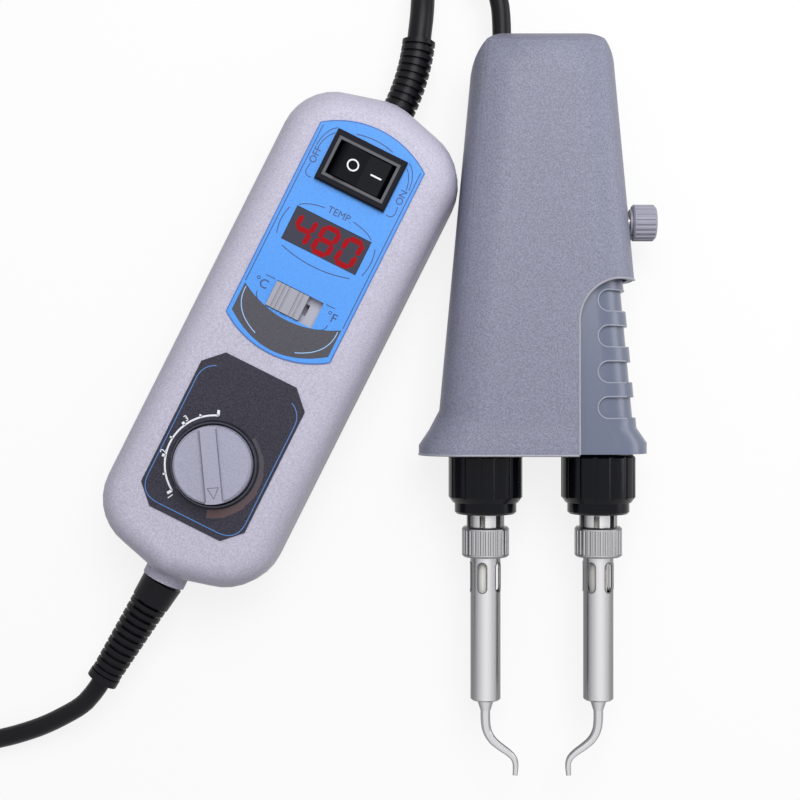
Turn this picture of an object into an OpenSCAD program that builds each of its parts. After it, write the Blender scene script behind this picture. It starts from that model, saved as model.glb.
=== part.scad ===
// Soldering tweezers: a squeeze handle with two heated arms, an in-line controller and two leads

/* [Layout] */
// Middle of the handle's flange, left to right
handle_x = 48; // [46:0.5:50]
// Plane of the handle's flange, tip end to cord end
handle_y = -14; // [-16:0.5:-12]
// Middle of the controller, left to right
ctrl_x = -25.3; // [-27:0.1:-24]
// Middle of the controller, tip end to cord end
ctrl_y = 18; // [17:0.1:20]
// Turn of the controller, clockwise from above
ctrl_turn = 26.6; // [24:0.1:29]

/* [Handle shells] */
// Length of the handle from its flange to its cord end
handle_length = 117.6; // [112:0.1:124]
// Half width of the handle where the flare starts
handle_low_half = 28.8; // [27:0.1:31]
// Half width of the handle at its cord end
handle_top_half = 19; // [18:0.1:21]
// Depth of the handle from front to rear
handle_depth = 30; // [29:0.5:33]
// Radius along the long edges of the handle
handle_edge_r = 12.5; // [9:0.5:13]
// Radius of the two corners at the cord end
handle_corner_r = 12.5; // [9:0.5:13]
// Thickness of the handle's walls
handle_wall = 2; // [1.6:0.1:2.4]
// Height of the flare above the flange plane
flare_height = 13; // [10:0.5:16]
// Half width of the flange
flange_half = 34.7; // [32:0.1:37]
// Depth of the flange from front to rear
flange_depth = 31; // [30.5:0.5:34]
// Thickness of the flange's floor
flange_floor = 2.5; // [2:0.1:4]
// Left edge of the lever opening
opening_x = 8.7; // [7.5:0.1:10]
// Top edge of the lever opening
opening_top = 48.7; // [46:0.1:51]
// Corner radius of the lever opening
opening_r = 12; // [8:0.5:14]

/* [Lever] */
// Step from the handle's side to the lever's side
lever_step = 3.2; // [2.6:0.1:3.6]
// Gap between the lever's faces and the shells
lever_gap = 0.4; // [0.3:0.05:0.8]
// How far the lever reaches under the shell beside the opening
lever_tuck = 3.7; // [2:0.1:4.5]
// How far the lever's flange stands out past its side
lever_flange = 2.2; // [1:0.1:3]
// Number of finger grooves
groove_count = 4; // [3:1:4]
// Distance from one finger groove to the next
groove_pitch = 9.8; // [8.5:0.1:10.2]
// Height of a finger groove
groove_height = 5.6; // [4:0.1:6.5]
// Depth of a finger groove
groove_depth = 0.9; // [0.6:0.1:1.5]
// Middle of the lowest finger groove above the flange plane
groove_first = 13.2; // [11:0.1:14]
// How far a finger groove starts inside the lever opening
groove_inset = 5.5; // [3:0.1:8]
// Distance of the lever pivot from the cord end
pivot_from_top = 16; // [14:0.5:18]
// Distance of the lever pivot from the handle's middle line
pivot_x = 9; // [8:0.1:10]
// Diameter of the pivot pin
pivot_d = 4; // [3:0.1:5]
// Thickness of the lever arm at the pivot
lever_arm_depth = 11.8; // [9:0.1:13]
// Width of the lever arm at the pivot
lever_arm_width = 9; // [7.5:0.1:10]

/* [Stop screw and spring] */
// Height of the stop screw above the flange plane
adjuster_y = 65.2; // [63:0.1:68]
// Diameter of the stop screw
adjuster_d = 4; // [3:0.1:5]
// Diameter of the knurled head
adjuster_head_d = 10.3; // [8:0.1:12]
// Length of the knurled head
adjuster_head_l = 6.6; // [5:0.1:8]
// Outer diameter of the threaded insert
insert_d = 7; // [6.2:0.1:8]
// Height of the return spring above the flange plane
spring_y = 79; // [77:0.5:82]
// Outer diameter of the return spring
spring_d = 6.4; // [5:0.1:7.5]
// Wire diameter of the return spring
spring_wire = 0.9; // [0.6:0.05:1.1]
// Number of turns of the return spring
spring_turns = 6; // [4:1:8]

/* [Heated arms] */
// Distance between the two arms
arm_spacing = 31.8; // [30.5:0.1:33]
// Diameter of the fluted collar nut
collar_d = 20.8; // [19:0.1:22]
// Length of the fluted collar nut
collar_l = 13.5; // [11:0.1:15]
// Diameter of the lock ring under the collar nut
ring_d = 17.4; // [16:0.1:18.5]
// Length of the lock ring
ring_l = 3.2; // [2.5:0.1:4.5]
// Diameter of the slotted ferrule
ferrule_d = 10.6; // [10:0.1:11.2]
// Length of ferrule that shows above the tip nut
ferrule_show = 3.6; // [2.5:0.1:5]
// Diameter of the socket tube behind the ferrule
socket_d = 12; // [11.5:0.1:13]
// Depth of the socket tube in the handle
socket_depth = 13; // [10:0.5:14]
// Diameter of the knurled tip nut
tip_nut_d = 13.3; // [12.6:0.1:14.5]
// Length of the knurled tip nut
tip_nut_l = 8.5; // [7.5:0.1:10]
// Outer diameter of the tip sleeve
sleeve_d = 8.5; // [8.2:0.1:8.9]
// Wall of the tip sleeve
sleeve_wall = 0.5; // [0.4:0.05:0.7]
// Distance of the sleeve's end from the flange plane
sleeve_end = 69.1; // [66:0.1:73]
// Length of a vent slot
vent_l = 8.5; // [6:0.1:10]
// Width of a vent slot
vent_w = 2.6; // [2:0.1:3]
// Diameter of the heater rod
heater_d = 5; // [4:0.1:5.4]
// Diameter of the tip's neck
neck_d = 4.7; // [4.2:0.1:5]
// Diameter of the tip where its bend starts
tip_d = 2.75; // [2.4:0.05:3.2]
// Diameter of the tip at its point
tip_point_d = 1.4; // [1.2:0.05:1.8]

/* [Controller case] */
// Length of the controller case
case_length = 146.6; // [141:0.2:151]
// Width of the controller case
case_width = 53; // [51:0.5:56]
// Height of the controller case
case_height = 30; // [29.5:0.5:32]
// Height of the parting line between the case halves
parting_z = 12; // [11:0.5:13]
// Radius of the case's corners from above
case_corner_r = 16; // [14:0.5:18]
// Width of the rounded shoulder round the face
case_shoulder = 8.2; // [6:0.1:9]
// How far the case ends bow out in the middle
case_crown = 2.8; // [2:0.1:4]
// Thickness of the case walls
case_wall = 2.2; // [1.8:0.1:2.6]
// Diameter of the cord boss at the dial end
boss_d = 12.5; // [12:0.1:14]
// Length of the cord boss past the case end
boss_l = 2.5; // [2:0.1:4]

/* [Controller face] */
// Thickness of the two labels
label_t = 0.3; // [0.2:0.05:0.4]
// Width of the upper label
upper_label_w = 31.7; // [30:0.1:33]
// Width of the lower label
lower_label_w = 31.4; // [30:0.1:33]
// Length of the lower label
lower_label_l = 46.5; // [44:0.1:48]
// Corner cut of the lower label
label_cut = 5; // [3:0.1:6]
// Place of the rocker switch, as a share of half the case
rocker_place = 0.694; // [0.68:0.002:0.71]
// Length of the rocker bezel across the case
rocker_w = 21; // [20.4:0.1:22]
// Width of the rocker bezel along the case
rocker_h = 15; // [14.4:0.1:15.6]
// Tilt of the rocker either way
rocker_tilt = 10; // [8:0.5:12]
// Place of the display, as a share of half the case
display_place = 0.406; // [0.39:0.002:0.42]
// Length of the display window across the case
display_w = 22.5; // [20:0.1:23]
// Width of the display window along the case
display_h = 10; // [9:0.1:10.5]
// Place of the slide switch, as a share of half the case
slide_place = 0.142; // [0.13:0.002:0.15]
// Length of the slide switch slot
slide_w = 14.1; // [13.5:0.1:15]
// Width of the slide switch slot
slide_h = 7.6; // [7:0.1:8]
// Length of the slide switch cap
cap_w = 9.7; // [9:0.1:10]
// Place of the dial, as a share of half the case
dial_place = -0.522; // [-0.54:0.002:-0.5]
// Diameter of the dial knob
dial_d = 21.5; // [20:0.1:21.8]
// Outer diameter of the ring round the dial
dial_ring_d = 24.2; // [23.8:0.1:25]
// Height of the dial knob
dial_h = 5; // [4:0.1:6]
// Width of the bar on the dial knob
dial_bar_w = 4.8; // [3.5:0.1:6]
// Direction of the dial's pointer
dial_pointer = -58; // [-70:1:-40]
// Diameter of the potentiometer shaft
shaft_d = 6; // [5:0.1:6.2]

/* [Leads] */
// Diameter of the mains lead
mains_d = 6.8; // [6.4:0.1:7]
// Diameter of the handle lead
lead_d = 5.4; // [5:0.1:5.6]
// Height of both leads where they leave the controller
exit_z = 12; // [11:0.5:13]
// Length of the mains strain relief along its bend
mains_relief_l = 21.2; // [18:0.1:24]
// Bend radius of the mains strain relief
mains_relief_bend = 59; // [50:1:80]
// Length of the handle lead's strain relief
lead_relief_l = 33; // [30:0.5:36]
// Bend of the handle lead's strain relief to the side
lead_relief_tilt = 5; // [0:0.5:8]
// Diameter of the plug
plug_d = 37; // [35:0.5:39]
// Length of the plug body
plug_l = 34; // [30:1:38]
// Diameter of a plug pin
pin_d = 4.8; // [4.5:0.1:5]
// Length of a plug pin
pin_l = 19; // [17:0.5:20]
// Distance between the plug pins
pin_spacing = 19; // [18:0.5:20]

/* [Hidden] */
$fn = 48;
hull_fn = 32;

// Clearances
run_gap = 0.05;
fit_gap = 0.02;
seat_gap = 0.3;

// Handle places
arm_z = flange_depth / 2;
body_z = arm_z - handle_depth / 2;
taper = atan((handle_low_half - handle_top_half) / (handle_length - flare_height));
pivot_y = handle_length - pivot_from_top;
lever_left = opening_x - lever_tuck;
lever_top = opening_top + 6;
lever_foot = 0.4;
inner_low = body_z + handle_wall;
inner_high = body_z + handle_depth - handle_wall;
big = 400;

// Half width of the handle's side at a height above the flange plane
function side_x(y) = handle_low_half - (y - flare_height) * tan(taper);

// Edges of the lever arm, which runs from the grip up to the pivot
arm_root_y = opening_top + 9.3;
arm_root_left = lever_left + 1.5;
arm_root_right = 16.2;
function arm_share(y) = (y - arm_root_y) / (pivot_y - arm_root_y);
function arm_left(y) = arm_root_left + (pivot_x - lever_arm_width / 2 - arm_root_left) * arm_share(y);
function arm_right(y) = arm_root_right + (pivot_x + lever_arm_width / 2 - arm_root_right) * arm_share(y);

// Stop screw and spring places
adjuster_tip = arm_right(adjuster_y) + seat_gap;
wall_x = side_x(adjuster_y);
insert_x = wall_x - 6;
neck_l = 0.7;
neck_d_adjuster = 7.5;
spring_seat = 1.2;
spring_rib_x = -6;
spring_rib_t = 5;
spring_start = spring_rib_x - spring_seat + run_gap;
spring_stop = arm_left(spring_y) + spring_seat - run_gap;

// Shell screws, as places on the handle
shell_screw_d = 2;
shell_screw_head_d = 4.8;
shell_screw_head_l = 2;
shell_screw_seat = 3;
shell_boss_r = 3.6;
shell_screws = [
    [-1, handle_length - 8.5],
    [-15, 70],
    [-16, 34]
];

// Cord entry at the top of the handle
entry_x = -11.1;
entry_z = 12;
bush_d = 8.4;
bush_l = 6;
bush_boss_d = 11.6;
bush_top = handle_length - 1.75 * handle_wall;

// Places along an arm, measured from the flange plane towards the tip
ring_a = collar_l;
ferrule_a = ring_a + ring_l;
nut_a = ferrule_a + ferrule_show;
nut_end = nut_a + tip_nut_l;
sleeve_flange_l = 1.2;
nut_lip = 2.5;
ferrule_end = nut_end - nut_lip - sleeve_flange_l;
vent_a = nut_end + 1.4;
sleeve_lip = 1;
shank_a = vent_a + vent_l + 1.3;
sleeve_flange_d = ferrule_d - 0.2;
sleeve_bore = sleeve_d - 2 * sleeve_wall;
tip_cone_l = 3;
bend_a = sleeve_end + tip_cone_l;
// Centre line of the bent tip: how far inward, and how far past the end of the cone
tip_route = [
    [0, -0.6], [0, 2.9], [0.45, 5.8], [1.9, 8.4], [4.2, 10.4], [6.3, 11.9], [7.9, 13.5], [8.5, 15.4],
    [8.35, 18.4]
];

// Controller places
face_z = case_height;
panel_z = face_z + label_t;
half_l = case_length / 2;
half_w = case_width / 2;
rocker_v = rocker_place * half_l;
display_v = display_place * half_l;
slide_v = slide_place * half_l;
dial_v = dial_place * half_l;
corner_u = half_w - case_corner_r;
corner_v = half_l - case_crown - case_corner_r;
case_draft = 0.6;
base_r = case_corner_r - 4.5;
shoulder_z = face_z - 9.5;
panel_under = face_z - case_wall;
case_screw_u = 17.5;
case_screw_v = corner_v - 3.9;
case_screw_d = 2.6;
case_screw_head_d = 5.6;
case_screw_head_l = 2.2;
case_post_r = 3.4;
case_screw_tip = 20;

// Labels
upper_top = 0.861 * half_l;
upper_top_corner = 0.789 * half_l;
upper_foot = -0.064 * half_l;
upper_foot_corner = 0.006 * half_l;
lower_top = -0.131 * half_l;
function bow_r(half, rise) = (half * half + rise * rise) / (2 * rise);

// Rocker switch
rocker_pivot_z = face_z - 2.4;
rocker_r = 8.1;
rocker_thick = 4.1;
rocker_bezel_l = 1.8;
rocker_side = 1.75;
rocker_gap = 0.2;
rocker_body_w = rocker_w - 1.8;
rocker_body_h = rocker_h - 1.6;
rocker_slot_h = rocker_body_h - 2 * rocker_side;
rocker_button_h = rocker_slot_h - 2 * rocker_gap;
rocker_bottom = 14;
trunnion_d = 2.4;

// Boards and what they carry
board_t = 1.6;
upper_board_z = face_z - 10;
lower_board_z = 6;
upper_board_low = dial_v - 8.9;
upper_board_high = display_v + 8.5;
lower_board_low = -0.62 * half_l;
lower_board_high = 0.49 * half_l;
board_half = 16;
board_post_u = board_half - 3;
board_post_v = 6;
board_screw_d = 2;
board_screw_head_d = 4;
board_screw_head_l = 1.6;
board_post_r = 2.4;
upper_screw_bite = 5;
lower_screw_bite = 2.5;
bite_spare = 0.5;
post_u = [-board_post_u, board_post_u];
upper_post_v = [dial_v - 6.4, slide_v + 7.9];
lower_post_v = [lower_board_low + board_post_v, lower_board_high - board_post_v];
upper_posts = [for (u = post_u, v = upper_post_v) [u, v]];
lower_posts = [for (u = post_u, v = lower_post_v) [u, v]];
display_t = 0.8;
cap_travel = 4.1;
cap_left = -slide_w / 2 + 0.15;
pot_d = 16.5;
bush_thread_d = 7;
pot_nut_af = 10;
pot_nut_l = 2;
ring_l_dial = 1.5;
knob_z = panel_z + 0.4;

// Strain reliefs
relief_neck_d = 8.9;
relief_flange_d = 12;
relief_flange_l = 2.2;
mains_rib_d = 9.4;
mains_core_d = 7.7;
mains_rib_count = 10;
mains_relief_turn = mains_relief_l / mains_relief_bend * 180 / PI;
lead_rib_count = 11;
lead_taper_l = 6.7;
lead_ring_l = 2.3;

// Leads: places where each one runs, then its coil
tie_t = 0.8;
tie_w = 6;
tie_gap = 0.4;
mains_coil_at = [59.1, 185];
mains_coil_r = 37.5;
mains_wide = 3;
lead_coil_at = [-106, 163];
lead_coil_r = 30;
lead_wide = 2;
coil_layers = 2;
plug_at = [-20, 215, plug_d / 2];
plug_sleeve_l = 25;
// Place on the controller in the row frame
function ctrl_row(u, v, z) = [
    ctrl_x + u * cos(ctrl_turn) + v * sin(ctrl_turn), ctrl_y - u * sin(ctrl_turn) + v * cos(ctrl_turn), z
];
end_gap = 0.1;
relief_gap = 0.6;
start_l = 2;
mains_exit = ctrl_row(
    -mains_relief_bend * (1 - cos(mains_relief_turn)),
    half_l + mains_relief_bend * sin(mains_relief_turn),
    exit_z
);
mains_way = [sin(ctrl_turn - mains_relief_turn), cos(ctrl_turn - mains_relief_turn), 0];
lead_exit = ctrl_row(
    -lead_relief_l * sin(lead_relief_tilt),
    -half_l - boss_l - relief_gap - lead_relief_l * cos(lead_relief_tilt),
    exit_z
);
lead_way = [-sin(ctrl_turn + lead_relief_tilt), -cos(ctrl_turn + lead_relief_tilt), 0];
lead_entry = [handle_x + entry_x, handle_y + handle_length, entry_z];
mains_route = [
    mains_exit + end_gap * mains_way, mains_exit + start_l * mains_way, mains_exit + [0.9, 8.6, -0.8],
    [14.8, 124, 8.4], [14.8, 136, 5.2], [14.8, 150, 4.3], [14.8, 167, 4.2], [14.8, 185, 4.2]
];
mains_tail_route = [
    [14.8, 185, 11], [13.5, 195, 12], [9, 204, 14], [2, 210.8, 16.4], plug_at + [12.5, -0.5, -0.3],
    plug_at + [4, 0, 0], plug_at + [end_gap, 0, 0]
];
lead_route_low = [
    lead_exit + end_gap * lead_way, lead_exit + start_l * lead_way, lead_exit + [-4.85, -6.35, -1.4],
    lead_exit + [-9.85, -9.85, -2.9], lead_exit + [-19.2, -14.6, -5.5],
    [-108, -96.9, 4.2], [-119, -98.4, 3], [-129, -95.5, 2.8], [-136.5, -88.3, 2.7], [-140, -78, 2.7],
    [-140.7, -66, 2.7], [-140.6, -52, 2.7], [-140.5, -38, 2.7], [-140, -24, 2.7], [-139.5, -8, 2.7],
    [-139, 8, 2.7], [-138.5, 24, 2.7], [-138.2, 40, 2.7], [-138, 56, 2.7], [-138, 72, 2.7],
    [-138.2, 88, 2.7], [-138.4, 104, 2.8], [-138.6, 120, 3], [-138.7, 136, 3.3], [-138.7, 150, 3.5],
    [-138.7, 163, 3.5]
];
lead_route_high = [
    [-106, 195.7, 8.9], [-95, 195.4, 8.2], [-82, 192.5, 6.4], [-69, 187, 4.4], [-56, 180.5, 3.2],
    [-43, 173.5, 2.8], [-30, 166, 3.4], [-18, 159, 5.4], [-6, 152.2, 8.6], [6, 145.4, 11.2],
    [18, 138.6, 11.9], [26.5, 132.2, 11.9], [32.5, 124.5, 12], [36, 115.6, 12],
    lead_entry + [0, 4.4, 0], lead_entry - [0, 6, 0]
];

// Frames
module handle_at() {
    translate([handle_x, handle_y, 0]) children();
}

module arm_at(side) {
    handle_at() translate([side * arm_spacing / 2, 0, arm_z]) rotate([90, 0, 0]) children();
}

module controller_at() {
    translate([ctrl_x, ctrl_y, 0]) rotate(-ctrl_turn) children();
}

// Shapes used more than once
module along_y(y0, y1) {
    translate([0, y1, 0]) rotate([90, 0, 0]) linear_extrude(height = y1 - y0) children();
}

module along_x(x0, x1) {
    translate([x0, 0, 0]) rotate([90, 0, 90]) linear_extrude(height = x1 - x0) children();
}

module cylinder_x(x0, x1, d) {
    translate([x0, 0, 0]) rotate([0, 90, 0]) cylinder(h = x1 - x0, d = d);
}

module cylinder_y(y0, y1, d) {
    translate([0, y0, 0]) rotate([-90, 0, 0]) cylinder(h = y1 - y0, d = d);
}

// Strip of a given depth whose edge at zero has both corners rounded
module edge_section(width, depth, r) {
    translate([r, 0]) square([width - r, depth]);
    translate([0, r]) square([width, depth - 2 * r]);
    for (z = [r, depth - r]) {
        translate([r, z]) circle(r);
    }
}

function unit(v) = v / norm(v);
function heading(p, i) = unit(p[min(i + 1, len(p) - 1)] - p[max(i - 1, 0)]);

// Ring of points round a place on a route
function ring_points(centre, along, up, r, sides) =
    let (across = unit(cross(along, up)), other = cross(across, along))
    [for (k = [0:sides - 1]) centre + r * (cos(360 * k / sides) * across + sin(360 * k / sides) * other)];

// Round bar swept along a route, with a radius for each of its points
module sweep(route, radii, up, sides) {
    last = len(route) - 1;
    points = [for (i = [0:last]) each ring_points(route[i], heading(route, i), up, radii[i], sides)];
    walls = [
        for (i = [0:last - 1], k = [0:sides - 1])
            let (a = i * sides + k, b = i * sides + (k + 1) % sides)
            each [[a, b, b + sides], [a, b + sides, a + sides]]
    ];
    start_cap = [[for (k = [0:sides - 1]) sides - 1 - k]];
    end_cap = [[for (k = [0:sides - 1]) last * sides + k]];
    polyhedron(points = points, faces = concat(start_cap, walls, end_cap));
}

// Smooth curve through the points of a route
function curve_point(a, b, c, d, t) =
    0.5 * (2 * b + (c - a) * t + (2 * a - 5 * b + 4 * c - d) * t * t + (3 * b - a - 3 * c + d) * t * t * t);
function smooth(p, steps) = concat(
    [
        for (i = [0:len(p) - 2], s = [0:steps - 1])
            curve_point(p[max(i - 1, 0)], p[i], p[i + 1], p[min(i + 2, len(p) - 1)], s / steps)
    ],
    [p[len(p) - 1]]
);

// Straight flutes cut round a cylinder
module flutes(count, d, flute_d, a0, a1) {
    for (i = [0:count - 1]) {
        rotate(360 * i / count) translate([d / 2, 0, a0]) cylinder(h = a1 - a0, d = flute_d, $fn = 16);
    }
}

// Handle forms
module tapered_side(side_inset, face_inset) {
    width = 4 * handle_low_half;
    translate([-handle_low_half, flare_height, 0])
        rotate(-taper)
            translate([side_inset, 0, body_z + face_inset])
                along_y(-2 * flare_height, handle_length)
                    edge_section(width, handle_depth - 2 * face_inset, handle_edge_r - face_inset);
}

module cord_end(inset) {
    r = handle_edge_r - inset;
    along_x(-flange_half, flange_half)
        translate([handle_length - inset, body_z + inset])
            mirror([1, 0])
                edge_section(2 * handle_length, handle_depth - 2 * inset, r);
}

// Outline of the handle from the front, with its two top corners rounded
module front_outline(inset) {
    r = handle_corner_r - inset;
    spare = 0.08;
    centre_y = handle_length - handle_corner_r + spare;
    centre_x = side_x(centre_y) - handle_corner_r / cos(taper) + spare;
    foot_x = side_x(-flare_height) + spare;
    touch = [centre_x + r * cos(taper), centre_y + r * sin(taper)];
    polygon([
        [-foot_x, -flare_height], [foot_x, -flare_height], touch, [centre_x, centre_y + r],
        [-centre_x, centre_y + r], [-touch[0], touch[1]]
    ]);
    for (s = [-1, 1]) {
        translate([s * centre_x, centre_y]) circle(r);
    }
}

module handle_body(inset) {
    intersection() {
        tapered_side(inset, inset);
        mirror([1, 0, 0]) tapered_side(inset, inset);
        cord_end(inset);
        linear_extrude(height = big) front_outline(inset);
    }
}

module flare_slab(y0, y1, half, depth) {
    for (sx = [-1, 1], sz = [-1, 1]) {
        translate([sx * (half - handle_edge_r), 0, arm_z + sz * (depth / 2 - handle_edge_r)])
            rotate([0, 180 / hull_fn, 0])
                rotate([-90, 0, 0])
                    translate([0, 0, y0])
                        cylinder(h = y1 - y0, r = handle_edge_r, $fn = hull_fn);
    }
}

// Flare in two steps, which starts just inside the body
module flare() {
    tuck = 0.4;
    start_half = side_x(flare_height + tuck) - tuck;
    waist = flare_height / 2;
    waist_half = side_x(waist) + 0.4 * (flange_half - handle_low_half);
    waist_depth = handle_depth + 0.4 * (flange_depth - handle_depth);
    hull() {
        flare_slab(flare_height, flare_height + tuck, start_half, handle_depth - tuck);
        flare_slab(waist, waist + tuck, waist_half, waist_depth);
    }
    hull() {
        flare_slab(waist, waist + tuck, waist_half, waist_depth);
        flare_slab(0, flange_floor, flange_half, flange_depth);
    }
}

module above_flange(y0) {
    translate([-big / 2, y0, -big / 2]) cube(big);
}

module lever_opening() {
    translate([0, 0, -1]) linear_extrude(height = big) {
        translate([opening_x + opening_r, -1]) square([big, opening_top + 1]);
        translate([opening_x, -1]) square([big, opening_top + 1 - opening_r]);
        translate([opening_x + opening_r, opening_top - opening_r]) circle(opening_r);
    }
}

// Blocks inside the handle that hold the fixed arm, the spring, the stop screw and the cord
module handle_blocks() {
    block_w = socket_d + 5;
    translate([-arm_spacing / 2 - block_w / 2, flange_floor - 1, inner_low - 1])
        cube([block_w, socket_depth, inner_high - inner_low + 2]);
    translate([insert_x, adjuster_y - insert_d / 2 - 1.5, inner_low - 1])
        cube([wall_x - insert_x - 0.6 * handle_wall, insert_d + 3, inner_high - inner_low + 2]);
}

module rear_blocks() {
    translate([spring_rib_x - spring_rib_t, spring_y - spring_d / 2 - 2, inner_low - 1])
        cube([spring_rib_t, spring_d + 4, arm_z + spring_d / 2 + 2 - inner_low + 1]);
    intersection() {
        translate([entry_x, 0, entry_z])
            cylinder_y(handle_length - handle_wall - bush_l, handle_length - handle_wall + 0.5, bush_boss_d);
        translate([-big / 2, -big / 2, arm_z - big]) cube(big);
    }
}

// Seat of the bush, which runs a little way into the end wall
module bush_hole() {
    translate([entry_x, 0, entry_z])
        cylinder_y(handle_length - handle_wall - bush_l - 1, bush_top + run_gap, bush_d + 2 * fit_gap);
}

module screw_bosses() {
    for (p = shell_screws) {
        translate([p[0], p[1], inner_low - 1])
            cylinder(h = inner_high - inner_low + 2, r = shell_boss_r);
    }
}

// Bosses for the two ends of the pivot pin, with the lever's eye between them
module pivot_bosses() {
    gap = lever_arm_depth / 2 + seat_gap;
    for (s = [-1, 1]) {
        translate([pivot_x, pivot_y, arm_z + s * (gap + (handle_depth / 2 - handle_wall - gap + 1) / 2)])
            cylinder(h = handle_depth / 2 - handle_wall - gap + 1, d = pivot_d + 5, center = true);
    }
}

module pin_hole() {
    depth = handle_depth - 2 * handle_wall - 2;
    translate([pivot_x, pivot_y, arm_z]) cylinder(h = depth, d = pivot_d + 2 * fit_gap, center = true);
}

// Everything cut out of both shells
module handle_cuts() {
    lever_opening();
    translate([lever_left - 8, -1, inner_low + 0.1])
        cube([big, flange_floor + 2, inner_high - inner_low - 0.2]);
    translate([-arm_spacing / 2, 0, arm_z])
        cylinder_y(-1, flange_floor + socket_depth + 1, socket_d + 2 * fit_gap);
    translate([0, adjuster_y, arm_z]) cylinder_x(insert_x - 1, wall_x + 4, insert_d + 2 * fit_gap);
    pin_hole();
    for (p = shell_screws) {
        translate([p[0], p[1], -1]) {
            cylinder(h = inner_high - 1.5, d = shell_screw_d + 2 * run_gap);
            cylinder(h = 1 + shell_screw_seat + shell_screw_head_l, d = shell_screw_head_d + 0.4);
        }
    }
}

module handle_solid() {
    union() {
        difference() {
            union() {
                intersection() {
                    handle_body(0);
                    above_flange(0);
                }
                flare();
            }
            intersection() {
                handle_body(handle_wall);
                above_flange(flange_floor);
            }
        }
        intersection() {
            handle_body(0.4 * handle_wall);
            union() {
                handle_blocks();
                screw_bosses();
                pivot_bosses();
            }
        }
    }
}

module handle_front_shell() {
    color([0.55, 0.55, 0.6]) handle_at() difference() {
        intersection() {
            handle_solid();
            translate([-big / 2, -big / 2, arm_z]) cube(big);
        }
        handle_cuts();
        bush_hole();
    }
}

module handle_rear_shell() {
    color([0.53, 0.53, 0.58]) handle_at() difference() {
        union() {
            intersection() {
                handle_solid();
                translate([-big / 2, -big / 2, arm_z - big]) cube(big);
            }
            intersection() {
                handle_body(0.4 * handle_wall);
                rear_blocks();
            }
        }
        handle_cuts();
        translate([0, spring_y, arm_z])
            cylinder_x(spring_rib_x - spring_seat, spring_rib_x + 1, spring_d + 0.6);
        bush_hole();
        translate([entry_x, 0, entry_z])
            cylinder_y(bush_top - 1, handle_length + 1, lead_d + 0.4);
    }
}

module handle_screws() {
    color("dimgray") handle_at() for (p = shell_screws) {
        translate([p[0], p[1], shell_screw_seat]) {
            difference() {
                cylinder(h = shell_screw_head_l, d = shell_screw_head_d);
                for (a = [0, 90]) {
                    rotate(a) translate([-1.4, -0.3, -1]) cube([2.8, 0.6, 1.9]);
                }
            }
            cylinder(h = inner_high - shell_screw_seat - 3, d = shell_screw_d);
        }
    }
}

module lever_pivot_pin() {
    color("silver") handle_at() translate([pivot_x, pivot_y, arm_z])
        cylinder(h = handle_depth - 2 * handle_wall - 2.4, d = pivot_d, center = true);
}

// Lever
module lever_side(extra) {
    intersection() {
        mirror([1, 0, 0]) tapered_side(lever_step + extra, handle_wall + lever_gap + extra);
        translate([lever_left, lever_foot, 0]) cube([big, lever_top - lever_foot, big]);
    }
}

module lever_slab(y0, y1, edge) {
    depth = inner_high - inner_low - 2 * lever_gap - 0.2;
    r = handle_edge_r - handle_wall - lever_gap;
    for (sz = [-1, 1]) {
        translate([edge - r, y0, arm_z + sz * (depth / 2 - r)])
            rotate([-90, 0, 0])
                cylinder(h = y1 - y0, r = r, $fn = hull_fn);
        translate([lever_left + 1, y0, arm_z + (sz * depth - 1) / 2 - sz * 0.5]) cube([1, y1 - y0, 1]);
    }
}

module lever_flare() {
    tuck = 0.4;
    waist = 0.6 * flare_height;
    hull() {
        lever_slab(waist, waist + tuck, side_x(waist) - lever_step - tuck);
        lever_slab(lever_foot, lever_foot + 3, side_x(0) - lever_step + lever_flange);
    }
}

module lever_arm() {
    translate([0, 0, arm_z - lever_arm_depth / 2]) linear_extrude(height = lever_arm_depth) {
        polygon([
            [arm_root_left, opening_top - 4], [side_x(opening_top) - lever_step - 3, opening_top - 4],
            [side_x(lever_top) - lever_step - 3, lever_top], [arm_root_right, arm_root_y],
            [arm_right(pivot_y), pivot_y], [arm_left(pivot_y), pivot_y], [arm_root_left, arm_root_y]
        ]);
        translate([pivot_x, pivot_y]) circle(lever_arm_width / 2 + 1);
    }
}

module finger_grooves() {
    for (i = [0:groove_count - 1]) {
        translate([opening_x + groove_inset + groove_height / 2, groove_first + i * groove_pitch, 0])
            linear_extrude(height = big) {
                circle(groove_height / 2);
                translate([0, -groove_height / 2]) square([big, groove_height]);
            }
    }
}

module lever_grip() {
    color([0.49, 0.5, 0.55]) handle_at() difference() {
        union() {
            lever_side(0);
            lever_flare();
            lever_arm();
        }
        difference() {
            finger_grooves();
            lever_side(groove_depth);
            translate([0, 0, -1]) cube([opening_x + groove_inset, big, big]);
        }
        translate([pivot_x, pivot_y, 0]) cylinder(h = big, d = pivot_d + 2 * run_gap);
        translate([arm_spacing / 2, 0, arm_z])
            cylinder_y(-1, flange_floor + socket_depth + 1, socket_d + 2 * fit_gap);
        translate([0, spring_y, arm_z])
            cylinder_x(arm_left(spring_y) - 3, arm_left(spring_y) + spring_seat, spring_d + 0.6);
    }
}

module return_spring() {
    per_turn = 10;
    total = spring_turns * per_turn;
    r = (spring_d - spring_wire) / 2;
    length = spring_stop - spring_start - spring_wire;
    route = [
        for (i = [0:total])
            [length * i / total, r * cos(360 * i / per_turn), r * sin(360 * i / per_turn)]
    ];
    color("silver") handle_at() translate([spring_start + spring_wire / 2, spring_y, arm_z])
        sweep(route, [for (p = route) spring_wire / 2], [1, 0, 0], 6);
}

// Stop screw
module adjuster_insert() {
    color("goldenrod") handle_at() translate([0, adjuster_y, arm_z]) difference() {
        cylinder_x(insert_x, wall_x - 0.2, insert_d);
        cylinder_x(insert_x - 1, wall_x + 1, adjuster_d + 2 * run_gap);
    }
}

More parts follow.
